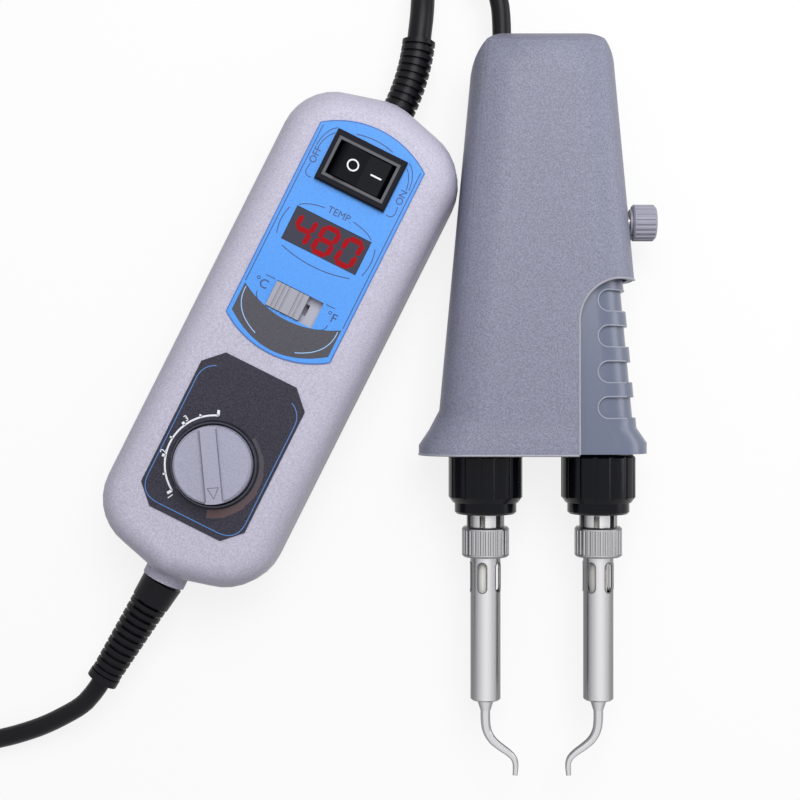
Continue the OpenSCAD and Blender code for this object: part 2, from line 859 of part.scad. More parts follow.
module adjuster_screw() {
    color("silver") handle_at() translate([0, adjuster_y, arm_z])
        cylinder_x(adjuster_tip, wall_x + neck_l + adjuster_head_l - 1.5, adjuster_d);
}

module adjuster_knob() {
    start = wall_x + seat_gap + neck_d_adjuster / 2 * tan(taper);
    hole_l = neck_l + adjuster_head_l - 0.5 - seat_gap;
    color([0.6, 0.6, 0.63]) handle_at() translate([start, adjuster_y, arm_z])
    rotate([0, 90, 0]) difference() {
        union() {
            cylinder(h = neck_l + 0.1, d = neck_d_adjuster);
            translate([0, 0, neck_l]) rotate_extrude() polygon([
                [0, 0], [adjuster_head_d / 2 - 0.4, 0], [adjuster_head_d / 2, 0.4],
                [adjuster_head_d / 2, adjuster_head_l - 0.7], [adjuster_head_d / 2 - 0.7, adjuster_head_l],
                [0, adjuster_head_l]
            ]);
        }
        translate([0, 0, neck_l]) flutes(22, adjuster_head_d + 0.5, 1.1, 0.6, adjuster_head_l + 1);
        translate([0, 0, -1]) cylinder(h = hole_l, d = adjuster_d + 2 * fit_gap);
    }
}

module cord_bush() {
    low = handle_length - handle_wall - bush_l;
    color([0.1, 0.1, 0.11]) handle_at() translate([entry_x, 0, entry_z]) difference() {
        union() {
            cylinder_y(low - 0.1, bush_top, bush_d);
            cylinder_y(low - 1.6, low - run_gap, bush_boss_d);
        }
        cylinder_y(low - 2, bush_top + 1, lead_d + 2 * run_gap);
    }
}

// Heated arm, drawn along +Z from the flange plane to the tip
module socket_tube() {
    color([0.09, 0.09, 0.1]) difference() {
        translate([0, 0, -socket_depth]) cylinder(h = socket_depth + ring_a + ring_l, d = socket_d);
        translate([0, 0, -socket_depth - 1]) cylinder(h = big, d = ferrule_d - 1.2 + 2 * fit_gap);
    }
}

module collar_nut() {
    edge = 0.8;
    color([0.06, 0.065, 0.08]) difference() {
        rotate_extrude() polygon([
            [socket_d / 2 + fit_gap, 0], [collar_d / 2 - edge, 0], [collar_d / 2, edge],
            [collar_d / 2, collar_l - 2 * edge], [collar_d / 2 - 1.5 * edge, collar_l],
            [socket_d / 2 + fit_gap, collar_l]
        ]);
        flutes(14, collar_d + 2, 2.6, -1, collar_l + 1);
    }
}

module lock_ring() {
    edge = 0.6;
    color([0.06, 0.065, 0.08]) rotate_extrude() polygon([
        [socket_d / 2 + fit_gap, ring_a], [ring_d / 2, ring_a], [ring_d / 2, ferrule_a - edge],
        [ring_d / 2 - edge, ferrule_a], [socket_d / 2 + fit_gap, ferrule_a]
    ]);
}

module ferrule(first) {
    stem_d = ferrule_d - 1.2;
    bore = heater_d + 1.2;
    slot_w = 1.6;
    slots = 7;
    color("silver") difference() {
        union() {
            translate([0, 0, -socket_depth + 2]) cylinder(h = socket_depth + ferrule_a, d = stem_d);
            translate([0, 0, ferrule_a]) cylinder(h = ferrule_end - ferrule_a, d = ferrule_d);
        }
        translate([0, 0, -socket_depth]) cylinder(h = big, d = bore);
        for (i = [0:slots - 1]) {
            rotate(first + 360 * i / slots) translate([-slot_w / 2, 0, ferrule_a + 0.3])
                cube([slot_w, ferrule_d, ferrule_show + 0.5]);
        }
    }
}

module tip_nut() {
    edge = 0.5;
    wide = ferrule_d / 2 + run_gap;
    narrow = sleeve_d / 2 + run_gap;
    color("lightgray") difference() {
        rotate_extrude() polygon([
            [wide, nut_a], [tip_nut_d / 2 - edge, nut_a], [tip_nut_d / 2, nut_a + edge],
            [tip_nut_d / 2, nut_end - edge], [tip_nut_d / 2 - edge, nut_end], [narrow, nut_end],
            [narrow, nut_end - nut_lip], [wide, nut_end - nut_lip]
        ]);
        flutes(30, tip_nut_d + 0.4, 0.9, nut_a + 0.9, nut_end - 0.9);
    }
}

module vent_slots(first) {
    r = vent_w / 2;
    for (a = [0:72:288]) {
        rotate(180 + first + a) rotate([90, 0, 0]) {
            translate([-r, vent_a + r, 0]) cube([vent_w, vent_l - vent_w, sleeve_d]);
            for (z = [vent_a + r, vent_a + vent_l - r]) {
                translate([0, z, 0]) cylinder(h = sleeve_d, r = r);
            }
        }
    }
}

module tip_sleeve(first) {
    edge = 0.4;
    hole = neck_d / 2 + run_gap;
    flange_end = ferrule_end + sleeve_flange_l;
    color("silver") difference() {
        rotate_extrude() polygon([
            [sleeve_bore / 2, ferrule_end], [sleeve_flange_d / 2, ferrule_end],
            [sleeve_flange_d / 2, flange_end], [sleeve_d / 2, flange_end],
            [sleeve_d / 2, sleeve_end - edge], [sleeve_d / 2 - edge, sleeve_end], [hole, sleeve_end],
            [hole, sleeve_end - sleeve_lip], [sleeve_bore / 2, sleeve_end - sleeve_lip]
        ]);
        vent_slots(first);
    }
}

module bent_tip() {
    shank_r = sleeve_bore / 2 - run_gap;
    seat = sleeve_end - sleeve_lip;
    route = smooth([for (p = tip_route) [p[0], 0, bend_a + p[1]]], 3);
    last = len(route) - 1;
    radii = [for (i = [0:last]) (tip_d + (tip_point_d - tip_d) * pow(i / last, 1.5)) / 2];
    color([0.75, 0.75, 0.77]) union() {
        difference() {
            rotate_extrude() polygon([
                [0, shank_a], [shank_r, shank_a], [shank_r, seat], [neck_d / 2, seat],
                [neck_d / 2, sleeve_end + 0.2], [tip_d / 2 + run_gap, bend_a], [0, bend_a]
            ]);
            translate([0, 0, shank_a - 1]) cylinder(h = seat - shank_a - 2, d = heater_d + 2 * run_gap);
        }
        sweep(route, radii, [0, 1, 0], 12);
    }
}

module heater_rod() {
    top = -socket_depth + 4;
    seat = sleeve_end - sleeve_lip - 3.3;
    color("white") union() {
        translate([0, 0, top]) cylinder(h = seat - top, d = heater_d);
        translate([0, 0, top]) cylinder(h = 5, d = heater_d + 1.1);
    }
}

// The moving arm is the mirror image of the fixed one
module fixed_arm() {
    arm_at(-1) children();
}

module moving_arm() {
    arm_at(1) mirror([1, 0, 0]) children();
}

// Controller case
function shoulder_profile(inset) =
    let (
        top = face_z - inset,
        r = case_corner_r - inset,
        face_r = max(case_corner_r - case_shoulder - inset, 1)
    )
    concat(
        [[0, parting_z], [r, parting_z]],
        [
            for (a = [0:15:90])
                [face_r + (r - case_draft - face_r) * cos(a), shoulder_z + (top - shoulder_z) * sin(a)]
        ],
        [[0, top]]
    );

function base_profile(inset) =
    let (r = case_corner_r - inset, foot_r = max(base_r - inset, 1), knee_z = 5)
    concat(
        [[0, inset]],
        [
            for (a = [0:22.5:90])
                [foot_r + (r - case_draft - foot_r) * sin(a), knee_z - (knee_z - inset) * cos(a)]
        ],
        [[r, parting_z], [0, parting_z]]
    );

// Places of the round corners and of the bowed ends
case_corners = concat(
    [for (su = [-1, 1], sv = [-1, 1]) [su * corner_u, sv * corner_v]],
    [for (sv = [-1, 1]) [0, sv * (corner_v + case_crown)]]
);

module case_form(profile) {
    hull() for (p = case_corners) {
        translate([p[0], p[1], 0]) rotate_extrude($fn = hull_fn) polygon(profile);
    }
}

module at_case_screws() {
    for (su = [-1, 1], sv = [-1, 1]) {
        translate([su * case_screw_u, sv * case_screw_v, 0]) children();
    }
}

module cord_boss() {
    translate([0, 0, exit_z]) cylinder_y(-half_l - boss_l, -half_l + 5, boss_d);
}

module cord_holes() {
    translate([0, 0, exit_z]) {
        cylinder_y(-half_l - boss_l - 1, -half_l + 6, relief_neck_d + 2 * fit_gap);
        cylinder_y(half_l - 6, half_l + 1, relief_neck_d + 2 * fit_gap);
        cylinder_y(-half_l + case_wall, -half_l + 9, relief_flange_d + 1);
        cylinder_y(half_l - 9, half_l - case_wall, relief_flange_d + 1);
    }
}

module face_block(w, h, v, z0, z1) {
    translate([-w / 2, v - h / 2, z0]) cube([w, h, z1 - z0]);
}

module face_openings() {
    gap = 2 * fit_gap;
    face_block(rocker_body_w + gap, rocker_body_h + gap, rocker_v, panel_under - 1, panel_z + 1);
    face_block(display_w + gap, display_h + gap, display_v, panel_under - 1, panel_z + 1);
    face_block(slide_w, slide_h, slide_v, panel_under - 1, panel_z + 1);
    translate([0, dial_v, panel_under - 1]) cylinder(h = 10, d = bush_thread_d + 2 * fit_gap);
}

module case_top() {
    color([0.66, 0.66, 0.7]) controller_at() difference() {
        union() {
            difference() {
                case_form(shoulder_profile(0));
                translate([0, 0, -0.01]) case_form(shoulder_profile(case_wall));
            }
            at_case_screws() translate([0, 0, parting_z])
                cylinder(h = panel_under - parting_z - 1, r = case_post_r);
            for (p = upper_posts) {
                translate([p[0], p[1], upper_board_z])
                    cylinder(h = panel_under - upper_board_z + 0.6, r = board_post_r);
            }
            intersection() {
                cord_boss();
                translate([-big / 2, -big / 2, parting_z]) cube(big);
            }
        }
        face_openings();
        cord_holes();
        at_case_screws() cylinder(h = case_screw_tip + 1, d = case_screw_d + 2 * run_gap);
        for (p = upper_posts) {
            translate([p[0], p[1], upper_board_z - 1])
                cylinder(h = 1 + upper_screw_bite + bite_spare, d = board_screw_d + 2 * run_gap);
        }
    }
}

module case_bottom() {
    color([0.6, 0.6, 0.64]) controller_at() difference() {
        union() {
            difference() {
                case_form(base_profile(0));
                translate([0, 0, 0.01]) case_form(base_profile(case_wall));
            }
            at_case_screws() translate([0, 0, case_wall - 1])
                cylinder(h = parting_z - case_wall + 1, r = case_post_r + 0.6);
            for (p = lower_posts) {
                translate([p[0], p[1], case_wall - 1])
                    cylinder(h = lower_board_z - case_wall + 1, r = board_post_r);
            }
            intersection() {
                cord_boss();
                translate([-big / 2, -big / 2, parting_z - big]) cube(big);
            }
        }
        cord_holes();
        at_case_screws() translate([0, 0, -1]) {
            cylinder(h = big, d = case_screw_d + 2 * run_gap);
            cylinder(h = 1.3 + case_screw_head_l, d = case_screw_head_d + 0.4);
        }
        for (p = lower_posts) {
            translate([p[0], p[1], lower_board_z - lower_screw_bite - bite_spare])
                cylinder(h = lower_screw_bite + bite_spare + 1, d = board_screw_d + 2 * run_gap);
        }
    }
}

module case_screws() {
    color("dimgray") controller_at() at_case_screws() translate([0, 0, 0.3]) {
        difference() {
            cylinder(h = case_screw_head_l, d = case_screw_head_d);
            for (a = [0, 90]) {
                rotate(a) translate([-1.7, -0.35, -1]) cube([3.4, 0.7, 2]);
            }
        }
        cylinder(h = case_screw_tip - 0.3, d = case_screw_d);
    }
}

// Labels on the face
module upper_outline() {
    half = upper_label_w / 2;
    top_r = bow_r(half, upper_top - upper_top_corner);
    foot_r = bow_r(half, upper_foot_corner - upper_foot);
    translate([-half, upper_foot_corner]) square([upper_label_w, upper_top_corner - upper_foot_corner]);
    intersection() {
        translate([0, upper_top - top_r]) circle(top_r);
        translate([-half, upper_top_corner - 1]) square([upper_label_w, 10]);
    }
    intersection() {
        translate([0, upper_foot + foot_r]) circle(foot_r);
        translate([-half, upper_foot_corner - 9]) square([upper_label_w, 10]);
    }
}

module upper_label() {
    color([0.31, 0.63, 0.98]) controller_at() difference() {
        translate([0, 0, face_z]) linear_extrude(height = label_t) upper_outline();
        face_openings();
    }
}

module lower_label() {
    half = lower_label_w / 2;
    foot = lower_top - lower_label_l;
    color([0.23, 0.22, 0.24]) controller_at() difference() {
        translate([0, 0, face_z]) linear_extrude(height = label_t) polygon([
            [-half + label_cut, lower_top], [half - label_cut, lower_top], [half, lower_top - label_cut],
            [half, foot + label_cut], [half - label_cut, foot], [-half + label_cut, foot],
            [-half, foot + label_cut], [-half, lower_top - label_cut]
        ]);
        face_openings();
    }
}

// Rocker switch
module rocker_frame() {
    edge = 0.7;
    color([0.07, 0.07, 0.08]) controller_at() difference() {
        union() {
            face_block(rocker_w, rocker_h, rocker_v, panel_z, panel_z + rocker_bezel_l - edge);
            face_block(rocker_w - edge, rocker_h - edge, rocker_v, panel_z, panel_z + rocker_bezel_l);
            face_block(rocker_body_w, rocker_body_h, rocker_v, rocker_bottom, panel_z + 0.1);
        }
        translate([0, rocker_v, rocker_pivot_z]) {
            cylinder_y(-rocker_slot_h / 2, rocker_slot_h / 2, 2 * (rocker_r + rocker_gap));
            translate([-rocker_r - rocker_gap, -rocker_slot_h / 2, 0])
                cube([2 * (rocker_r + rocker_gap), rocker_slot_h, 20]);
            cylinder_y(-rocker_h, rocker_h, trunnion_d + 2 * run_gap);
        }
    }
}

module rocker_button() {
    wing = rocker_thick + rocker_r * tan(rocker_tilt);
    trunnion_l = rocker_slot_h + 2 * rocker_side - 0.2;
    color([0.05, 0.05, 0.06]) controller_at() translate([0, rocker_v, rocker_pivot_z]) union() {
        along_y(-rocker_button_h / 2, rocker_button_h / 2) rotate(-rocker_tilt) intersection() {
            circle(rocker_r);
            polygon([
                [-rocker_r, -rocker_thick], [rocker_r, -rocker_thick], [rocker_r, wing],
                [0, rocker_thick], [-rocker_r, wing]
            ]);
        }
        cylinder_y(-trunnion_l / 2, trunnion_l / 2, trunnion_d);
    }
}

module rocker_terminals() {
    tab_w = 4.8;
    tab_t = 0.8;
    color("gold") controller_at() for (u = [-7, 0, 7]) {
        translate([u - tab_t / 2, rocker_v - tab_w / 2, rocker_bottom - 8]) cube([tab_t, tab_w, 8]);
    }
}

// Display
module display_window() {
    color([0.28, 0.28, 0.33]) controller_at()
        face_block(display_w, display_h, display_v, panel_z - 0.2 - display_t, panel_z - 0.2);
}

module display_module() {
    color([0.85, 0.85, 0.85]) controller_at()
        face_block(display_w, display_h, display_v, upper_board_z, panel_z - 0.2 - display_t);
}

// Slide switch
module slide_switch_body() {
    color("silver") controller_at() difference() {
        face_block(slide_w + 4, slide_h + 1.6, slide_v, upper_board_z, panel_under - run_gap);
        face_block(2.8 + cap_travel + 0.8, 3.2, slide_v, panel_under - 3, panel_under + 1);
    }
}

module slide_switch_cap() {
    cap_h = slide_h - 2 * rocker_gap;
    cap_low = panel_under + seat_gap;
    cap_top = panel_z + 0.9;
    stem = 2.6;
    middle = cap_left + cap_w / 2;
    color([0.72, 0.72, 0.76]) controller_at() translate([0, slide_v, 0]) difference() {
        union() {
            translate([cap_left, -cap_h / 2, cap_low]) cube([cap_w, cap_h, cap_top - cap_low]);
            translate([middle - stem / 2, -stem / 2, cap_low - 2.8]) cube([stem, stem, 3]);
        }
        for (share = [0.16, 0.28, 0.42, 0.72, 0.84]) {
            translate([cap_left + share * cap_w - 0.3, -cap_h, cap_top - 0.5]) cube([0.6, 2 * cap_h, 1]);
        }
    }
}

// Dial
module dial_ring() {
    inner = dial_d / 2 + seat_gap;
    color([0.45, 0.46, 0.5]) controller_at() translate([0, dial_v, panel_z]) rotate_extrude() polygon([
        [inner, 0], [dial_ring_d / 2, 0], [dial_ring_d / 2 - 0.2, ring_l_dial - 0.4],
        [dial_ring_d / 2 - 0.5, ring_l_dial], [inner + 0.2, ring_l_dial], [inner, ring_l_dial - 0.3]
    ]);
}

module dial_knob() {
    edge = 0.8;
    bar_h = 1.1;
    r = dial_d / 2;
    color([0.62, 0.62, 0.67]) controller_at() translate([0, dial_v, knob_z]) difference() {
        union() {
            rotate_extrude() polygon([
                [0, 0], [r, 0], [r - 0.2, dial_h - edge], [r - edge, dial_h], [0, dial_h]
            ]);
            intersection() {
                rotate(dial_pointer) translate([-r, -dial_bar_w / 2, 1])
                    cube([2 * r, dial_bar_w, dial_h - 1 + bar_h]);
                cylinder(h = 20, r = r - 0.35);
            }
        }
        translate([0, 0, -1]) cylinder(h = 1 + pot_nut_l, d = 1.3 * pot_nut_af);
        translate([0, 0, -1]) cylinder(h = dial_h, d = shaft_d + 2 * fit_gap);
    }
}

module dial_shaft() {
    color("silver") controller_at() translate([0, dial_v, upper_board_z + 2])
        cylinder(h = knob_z + dial_h - 1.2 - upper_board_z - 2, d = shaft_d);
}

module potentiometer() {
    color([0.6, 0.6, 0.5]) controller_at() translate([0, dial_v, 0]) difference() {
        union() {
            translate([0, 0, upper_board_z])
                cylinder(h = panel_under - run_gap - upper_board_z, d = pot_d);
            translate([0, 0, upper_board_z])
                cylinder(h = panel_z + pot_nut_l - 0.3 - upper_board_z, d = bush_thread_d);
        }
        translate([0, 0, upper_board_z + 1.9]) cylinder(h = 20, d = shaft_d + 2 * run_gap);
    }
}

module potentiometer_nut() {
    color("silver") controller_at() translate([0, dial_v, panel_z]) difference() {
        cylinder(h = pot_nut_l - 0.2, d = pot_nut_af / cos(30), $fn = 6);
        translate([0, 0, -1]) cylinder(h = 5, d = bush_thread_d + 2 * fit_gap);
    }
}

// Boards
module display_board() {
    color("seagreen") controller_at() difference() {
        translate([-board_half, upper_board_low, upper_board_z - board_t])
            cube([2 * board_half, upper_board_high - upper_board_low, board_t]);
        for (p = upper_posts) {
            translate([p[0], p[1], upper_board_z - 2 * board_t])
                cylinder(h = 3 * board_t, d = board_screw_d + 2 * run_gap);
        }
    }
}

module main_board() {
    color("darkgreen") controller_at() difference() {
        translate([-board_half, lower_board_low, lower_board_z])
            cube([2 * board_half, lower_board_high - lower_board_low, board_t]);
        for (p = lower_posts) {
            translate([p[0], p[1], lower_board_z - board_t])
                cylinder(h = 3 * board_t, d = board_screw_d + 2 * run_gap);
        }
    }
}

module board_screws() {
    color("silver") controller_at() {
        for (p = upper_posts) {
            translate([p[0], p[1], upper_board_z - board_t - board_screw_head_l]) {
                cylinder(h = board_screw_head_l, d = board_screw_head_d);
                cylinder(h = board_screw_head_l + board_t + upper_screw_bite, d = board_screw_d);
            }
        }
        for (p = lower_posts) {
            translate([p[0], p[1], lower_board_z + board_t]) {
                cylinder(h = board_screw_head_l, d = board_screw_head_d);
                translate([0, 0, -board_t - lower_screw_bite])
                    cylinder(h = board_t + lower_screw_bite + 0.5, d = board_screw_d);
            }
        }
    }
}

module heat_sink() {
    fins = 6;
    pitch = 3.6;
    color([0.7, 0.7, 0.72]) controller_at() translate([2, -24, lower_board_z + board_t]) {
        cube([2, (fins - 1) * pitch + 1, 8]);
        for (i = [0:fins - 1]) {
            translate([1.5, i * pitch, 0]) cube([8, 1, 8]);
        }
    }
}

module power_triac() {
    color([0.12, 0.12, 0.12]) controller_at() translate([-2.4, -20, lower_board_z + board_t])
        cube([4.4, 10, 8]);
}

module filter_capacitor() {
    color([0.8, 0.7, 0.2]) controller_at() translate([-8, 4, lower_board_z + board_t]) cube([16, 8, 8.2]);
}

// Strain reliefs
module relief_neck(sign) {
    end = half_l - case_wall;
    translate([0, 0, exit_z]) mirror([0, sign > 0 ? 0 : 1, 0]) {
        cylinder_y(end - 1, half_l + 0.2, relief_neck_d);
        cylinder_y(end - relief_flange_l, end - run_gap, relief_flange_d);
    }
}

module mains_strain_relief() {
    color([0.07, 0.07, 0.08]) controller_at() difference() {
        union() {
            relief_neck(1);
            translate([-mains_relief_bend, half_l, exit_z]) {
                rotate_extrude(angle = mains_relief_turn)
                    translate([mains_relief_bend, 0]) circle(d = mains_core_d);
                for (i = [0:mains_rib_count - 1]) {
                    rotate(mains_relief_turn * (i + 0.5) / mains_rib_count)
                        translate([mains_relief_bend, 0, 0])
                            cylinder_y(-0.6, 0.6, mains_rib_d);
                }
            }
        }
    }
}

// Outline of the ribbed strain relief from its axis outwards
function lead_relief_profile() =
    let (
        rib_l = (lead_relief_l - lead_taper_l - lead_ring_l) / lead_rib_count,
        core = 3.5,
        first = 5.3,
        last = 4.35
    )
    concat(
        [[0, 0], [5.9, 0], [5.5, lead_taper_l], [core, lead_taper_l]],
        [
            for (i = [0:lead_rib_count - 1])
                let (a = lead_taper_l + i * rib_l, r = first + (last - first) * i / (lead_rib_count - 1))
                each [
                    [core, a + 0.35 * rib_l], [r, a + 0.4 * rib_l], [r, a + 0.95 * rib_l], [core, a + rib_l]
                ]
        ],
        [[4.5, lead_relief_l - lead_ring_l + 0.2], [4.5, lead_relief_l], [0, lead_relief_l]]
    );

module handle_strain_relief() {
    start = half_l + boss_l;
    wall_v = case_wall - half_l;
    color([0.07, 0.07, 0.08]) controller_at() {
        translate([0, -start - relief_gap, exit_z]) rotate(-lead_relief_tilt) rotate([90, 0, 0])
            rotate_extrude() polygon(lead_relief_profile());
        translate([0, 0, exit_z]) {
            cylinder_y(-start - relief_gap - 1, wall_v + 1, relief_neck_d);
            cylinder_y(wall_v + run_gap, wall_v + relief_flange_l, relief_flange_d);
        }
    }
}

// Leads
module lead(route, d, sides) {
    sweep(route, [for (p = route) d / 2], [0, 0, 1], sides);
}

module mains_cord() {
    color([0.06, 0.06, 0.07]) {
        lead(mains_route, mains_d, 10);
        lead(mains_tail_route, mains_d, 10);
    }
}

module handle_cord() {
    color([0.06, 0.06, 0.07]) {
        lead(lead_route_low, lead_d, 8);
        lead(lead_route_high, lead_d, 8);
    }
}

// Outside of a coil that lies on its tie
module coil(at, mid_r, wide, d) {
    r = 0.4 * d;
    low = mid_r - wide * d / 2;
    high = mid_r + wide * d / 2;
    top = coil_layers * d;
    translate([at[0], at[1], tie_t]) rotate_extrude() {
        translate([low + r, 0]) square([high - low - 2 * r, top]);
        translate([low, r]) square([high - low, top - 2 * r]);
        for (x = [low + r, high - r], z = [r, top - r]) {
            translate([x, z]) circle(r);
        }
    }
}

module mains_coil() {
    color([0.06, 0.06, 0.07]) coil(mains_coil_at, mains_coil_r, mains_wide, mains_d);
}

module handle_cord_coil() {
    color([0.06, 0.06, 0.07]) coil(lead_coil_at, lead_coil_r, lead_wide, lead_d);
}

module tie(at, mid_r, wide, d, turn) {
    low = mid_r - wide * d / 2 - tie_gap;
    high = mid_r + wide * d / 2 + 0.1;
    top = coil_layers * d + tie_t + 0.1;
    translate([at[0], at[1], 0]) rotate(turn) difference() {
        translate([low - tie_t, -tie_w / 2, 0]) cube([high - low + 2 * tie_t, tie_w, top + tie_t]);
        translate([low, -tie_w, tie_t - 0.05]) cube([high - low, 2 * tie_w, top - tie_t + 0.05]);
    }
}

module cord_ties() {
    color([0.15, 0.15, 0.16]) {
        tie(mains_coil_at, mains_coil_r, mains_wide, mains_d, 20);
        tie(lead_coil_at, lead_coil_r, lead_wide, lead_d, 250);
    }
}

module mains_plug() {
    r = plug_d / 2;
    color([0.07, 0.07, 0.08]) translate(plug_at) rotate([0, -90, 0]) difference() {
        rotate_extrude() polygon([
            [0, 0], [4.6, 0], [6.6, plug_sleeve_l], [9, plug_sleeve_l + 1], [r - 3, plug_sleeve_l + 9],
            [r, plug_sleeve_l + 14], [r, plug_sleeve_l + plug_l - 0.6], [r - 0.6, plug_sleeve_l + plug_l],
            [0, plug_sleeve_l + plug_l]
        ]);
        for (s = [-1, 1]) {
            translate([0, s * pin_spacing / 2, plug_sleeve_l + plug_l - 8])
                cylinder(h = 20, d = pin_d + 2 * fit_gap);
            translate([s * (r + 1), 0, plug_sleeve_l + 17]) cylinder(h = plug_l, d = 7);
        }
    }
}

module plug_pins() {
    color("silver") translate(plug_at) rotate([0, -90, 0]) for (s = [-1, 1]) {
        translate([0, s * pin_spacing / 2, plug_sleeve_l + plug_l - 8]) rotate_extrude() polygon([
            [0, 0], [pin_d / 2, 0], [pin_d / 2, pin_l + 7], [pin_d / 2 - 0.8, pin_l + 8], [0, pin_l + 8]
        ]);
    }
}

handle_front_shell();
handle_rear_shell();
handle_screws();
lever_pivot_pin();
lever_grip();
return_spring();
adjuster_insert();
adjuster_screw();
adjuster_knob();
cord_bush();
fixed_arm() socket_tube();  // fixed_socket
fixed_arm() collar_nut();  // fixed_collar_nut
fixed_arm() lock_ring();  // fixed_lock_ring
fixed_arm() ferrule(13);  // fixed_ferrule
fixed_arm() tip_nut();  // fixed_tip_nut
fixed_arm() tip_sleeve(16);  // fixed_sleeve
fixed_arm() bent_tip();  // fixed_tip
fixed_arm() heater_rod();  // fixed_heater
moving_arm() socket_tube();  // moving_socket
moving_arm() collar_nut();  // moving_collar_nut
moving_arm() lock_ring();  // moving_lock_ring
moving_arm() ferrule(-13);  // moving_ferrule
moving_arm() tip_nut();  // moving_tip_nut
moving_arm() tip_sleeve(36);  // moving_sleeve
moving_arm() bent_tip();  // moving_tip
moving_arm() heater_rod();  // moving_heater
case_top();
case_bottom();
case_screws();
upper_label();
lower_label();
rocker_frame();
rocker_button();
rocker_terminals();
display_window();
display_module();
slide_switch_body();
slide_switch_cap();
dial_ring();
dial_knob();
dial_shaft();
potentiometer();
potentiometer_nut();
display_board();
main_board();
board_screws();
power_triac();
heat_sink();
filter_capacitor();
mains_strain_relief();
handle_strain_relief();
mains_cord();
mains_coil();
mains_plug();
plug_pins();
handle_cord();
handle_cord_coil();
cord_ties();
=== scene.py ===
import math

import bpy
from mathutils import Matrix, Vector
from mathutils.bvhtree import BVHTree


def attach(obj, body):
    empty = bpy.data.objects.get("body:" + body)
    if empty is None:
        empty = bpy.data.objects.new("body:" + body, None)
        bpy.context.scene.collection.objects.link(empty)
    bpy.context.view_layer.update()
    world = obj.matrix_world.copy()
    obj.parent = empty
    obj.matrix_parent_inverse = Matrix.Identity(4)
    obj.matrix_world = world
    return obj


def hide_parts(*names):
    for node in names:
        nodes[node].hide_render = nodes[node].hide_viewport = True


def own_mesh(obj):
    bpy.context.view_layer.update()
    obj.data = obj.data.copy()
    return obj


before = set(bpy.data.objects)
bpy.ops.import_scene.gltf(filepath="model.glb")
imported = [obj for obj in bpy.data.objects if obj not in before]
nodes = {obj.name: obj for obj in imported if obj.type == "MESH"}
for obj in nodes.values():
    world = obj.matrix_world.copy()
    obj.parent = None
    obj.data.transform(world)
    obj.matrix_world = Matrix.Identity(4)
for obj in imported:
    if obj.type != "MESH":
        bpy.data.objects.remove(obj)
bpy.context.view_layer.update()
scene = bpy.context.scene

MM = 0.001

# Places that part.scad also uses, in millimetres
CTRL = (-25.3, 18.0)
CTRL_TURN = math.radians(26.6)
PANEL_Z = 30.3
FACE_SHIFT = 1.27


def ctrl(u, v, z):
    """A place on the controller, in metres in the row frame."""
    c, s = math.cos(CTRL_TURN), math.sin(CTRL_TURN)
    return Vector(((CTRL[0] + u * c + v * s) * MM, (CTRL[1] - u * s + v * c) * MM, z * MM))


def linear(rgb):
    """Colour values from 0 to 255, made linear."""
    out = []
    for value in rgb:
        x = value / 255.0
        out.append(x / 12.92 if x <= 0.04045 else ((x + 0.055) / 1.055) ** 2.4)
    return (*out, 1.0)


# Camera
CAMERA_AT = (8.0, 1.3, 400.0)
FLOOR_SPAN = 234.7
SENSOR = 36.0

camera_data = bpy.data.cameras.new("camera")
camera_data.sensor_width = SENSOR
camera_data.lens = SENSOR * CAMERA_AT[2] / FLOOR_SPAN
camera_data.clip_start = 0.01
camera = bpy.data.objects.new("camera", camera_data)
camera.location = Vector(CAMERA_AT) * MM
scene.collection.objects.link(camera)
scene.camera = camera
scene.render.resolution_x = 800
scene.render.resolution_y = 800
scene.view_settings.view_transform = "Standard"
scene.view_settings.look = "None"


# Cords, in millimetres, and the degrees over which a strand crosses to its next place in a coil
CORD_STEP = 2.5
COIL_STEP = 5
CROSSING = 140.0


def smooth(points):
    """A smooth curve through points, with a place about every CORD_STEP."""
    pts = [Vector(p) for p in points]
    out = []
    for i in range(len(pts) - 1):
        a = pts[i - 1] if i else pts[0] * 2 - pts[1]
        b, c = pts[i], pts[i + 1]
        d = pts[i + 2] if i + 2 < len(pts) else c * 2 - b
        count = max(1, round((c - b).length / CORD_STEP))
        for s in range(count):
            t = s / count
            out.append(
                0.5
                * (
                    2 * b
                    + (c - a) * t
                    + (2 * a - 5 * b + 4 * c - d) * t * t
                    + (3 * b - a - 3 * c + d) * t**3
                )
            )
    out.append(pts[-1])
    return out


def coil(centre, strands, turns, starts):
    """Clockwise turns from the left side that move from each strand's place to the next one."""
    out = []
    total = round(turns * 360 / COIL_STEP)
    for i in range(1, total):
        angle = i * COIL_STEP
        turn = int(angle // 360)
        within = angle - 360 * turn
        here = strands[turn]
        there = strands[min(turn + 1, len(strands) - 1)]
        share = 0.0
        if turn < len(starts):
            share = min(1.0, max(0.0, (within - starts[turn]) / CROSSING))
            share = share * share * (3 - 2 * share)
        radius = here[0] + (there[0] - here[0]) * share
        height = here[1] + (there[1] - here[1]) * share
        a = math.radians(180 - angle)
        out.append(
            Vector((centre[0] + radius * math.cos(a), centre[1] + radius * math.sin(a), height))
        )
    return out


def cord_piece(name, points, diameter):
    """A round cord along points."""
    data = bpy.data.curves.new(name, "CURVE")
    data.dimensions = "3D"
    data.bevel_depth = 1.0
    data.bevel_resolution = 7
    data.use_fill_caps = True
    spline = data.splines.new("POLY")
    spline.points.add(len(points) - 1)
    for place, p in zip(spline.points, points):
        place.co = (*(p * MM), 1.0)
        place.radius = diameter / 2 * MM
    spline.use_smooth = True
    obj = bpy.data.objects.new(name, data)
    scene.collection.objects.link(obj)
    return obj


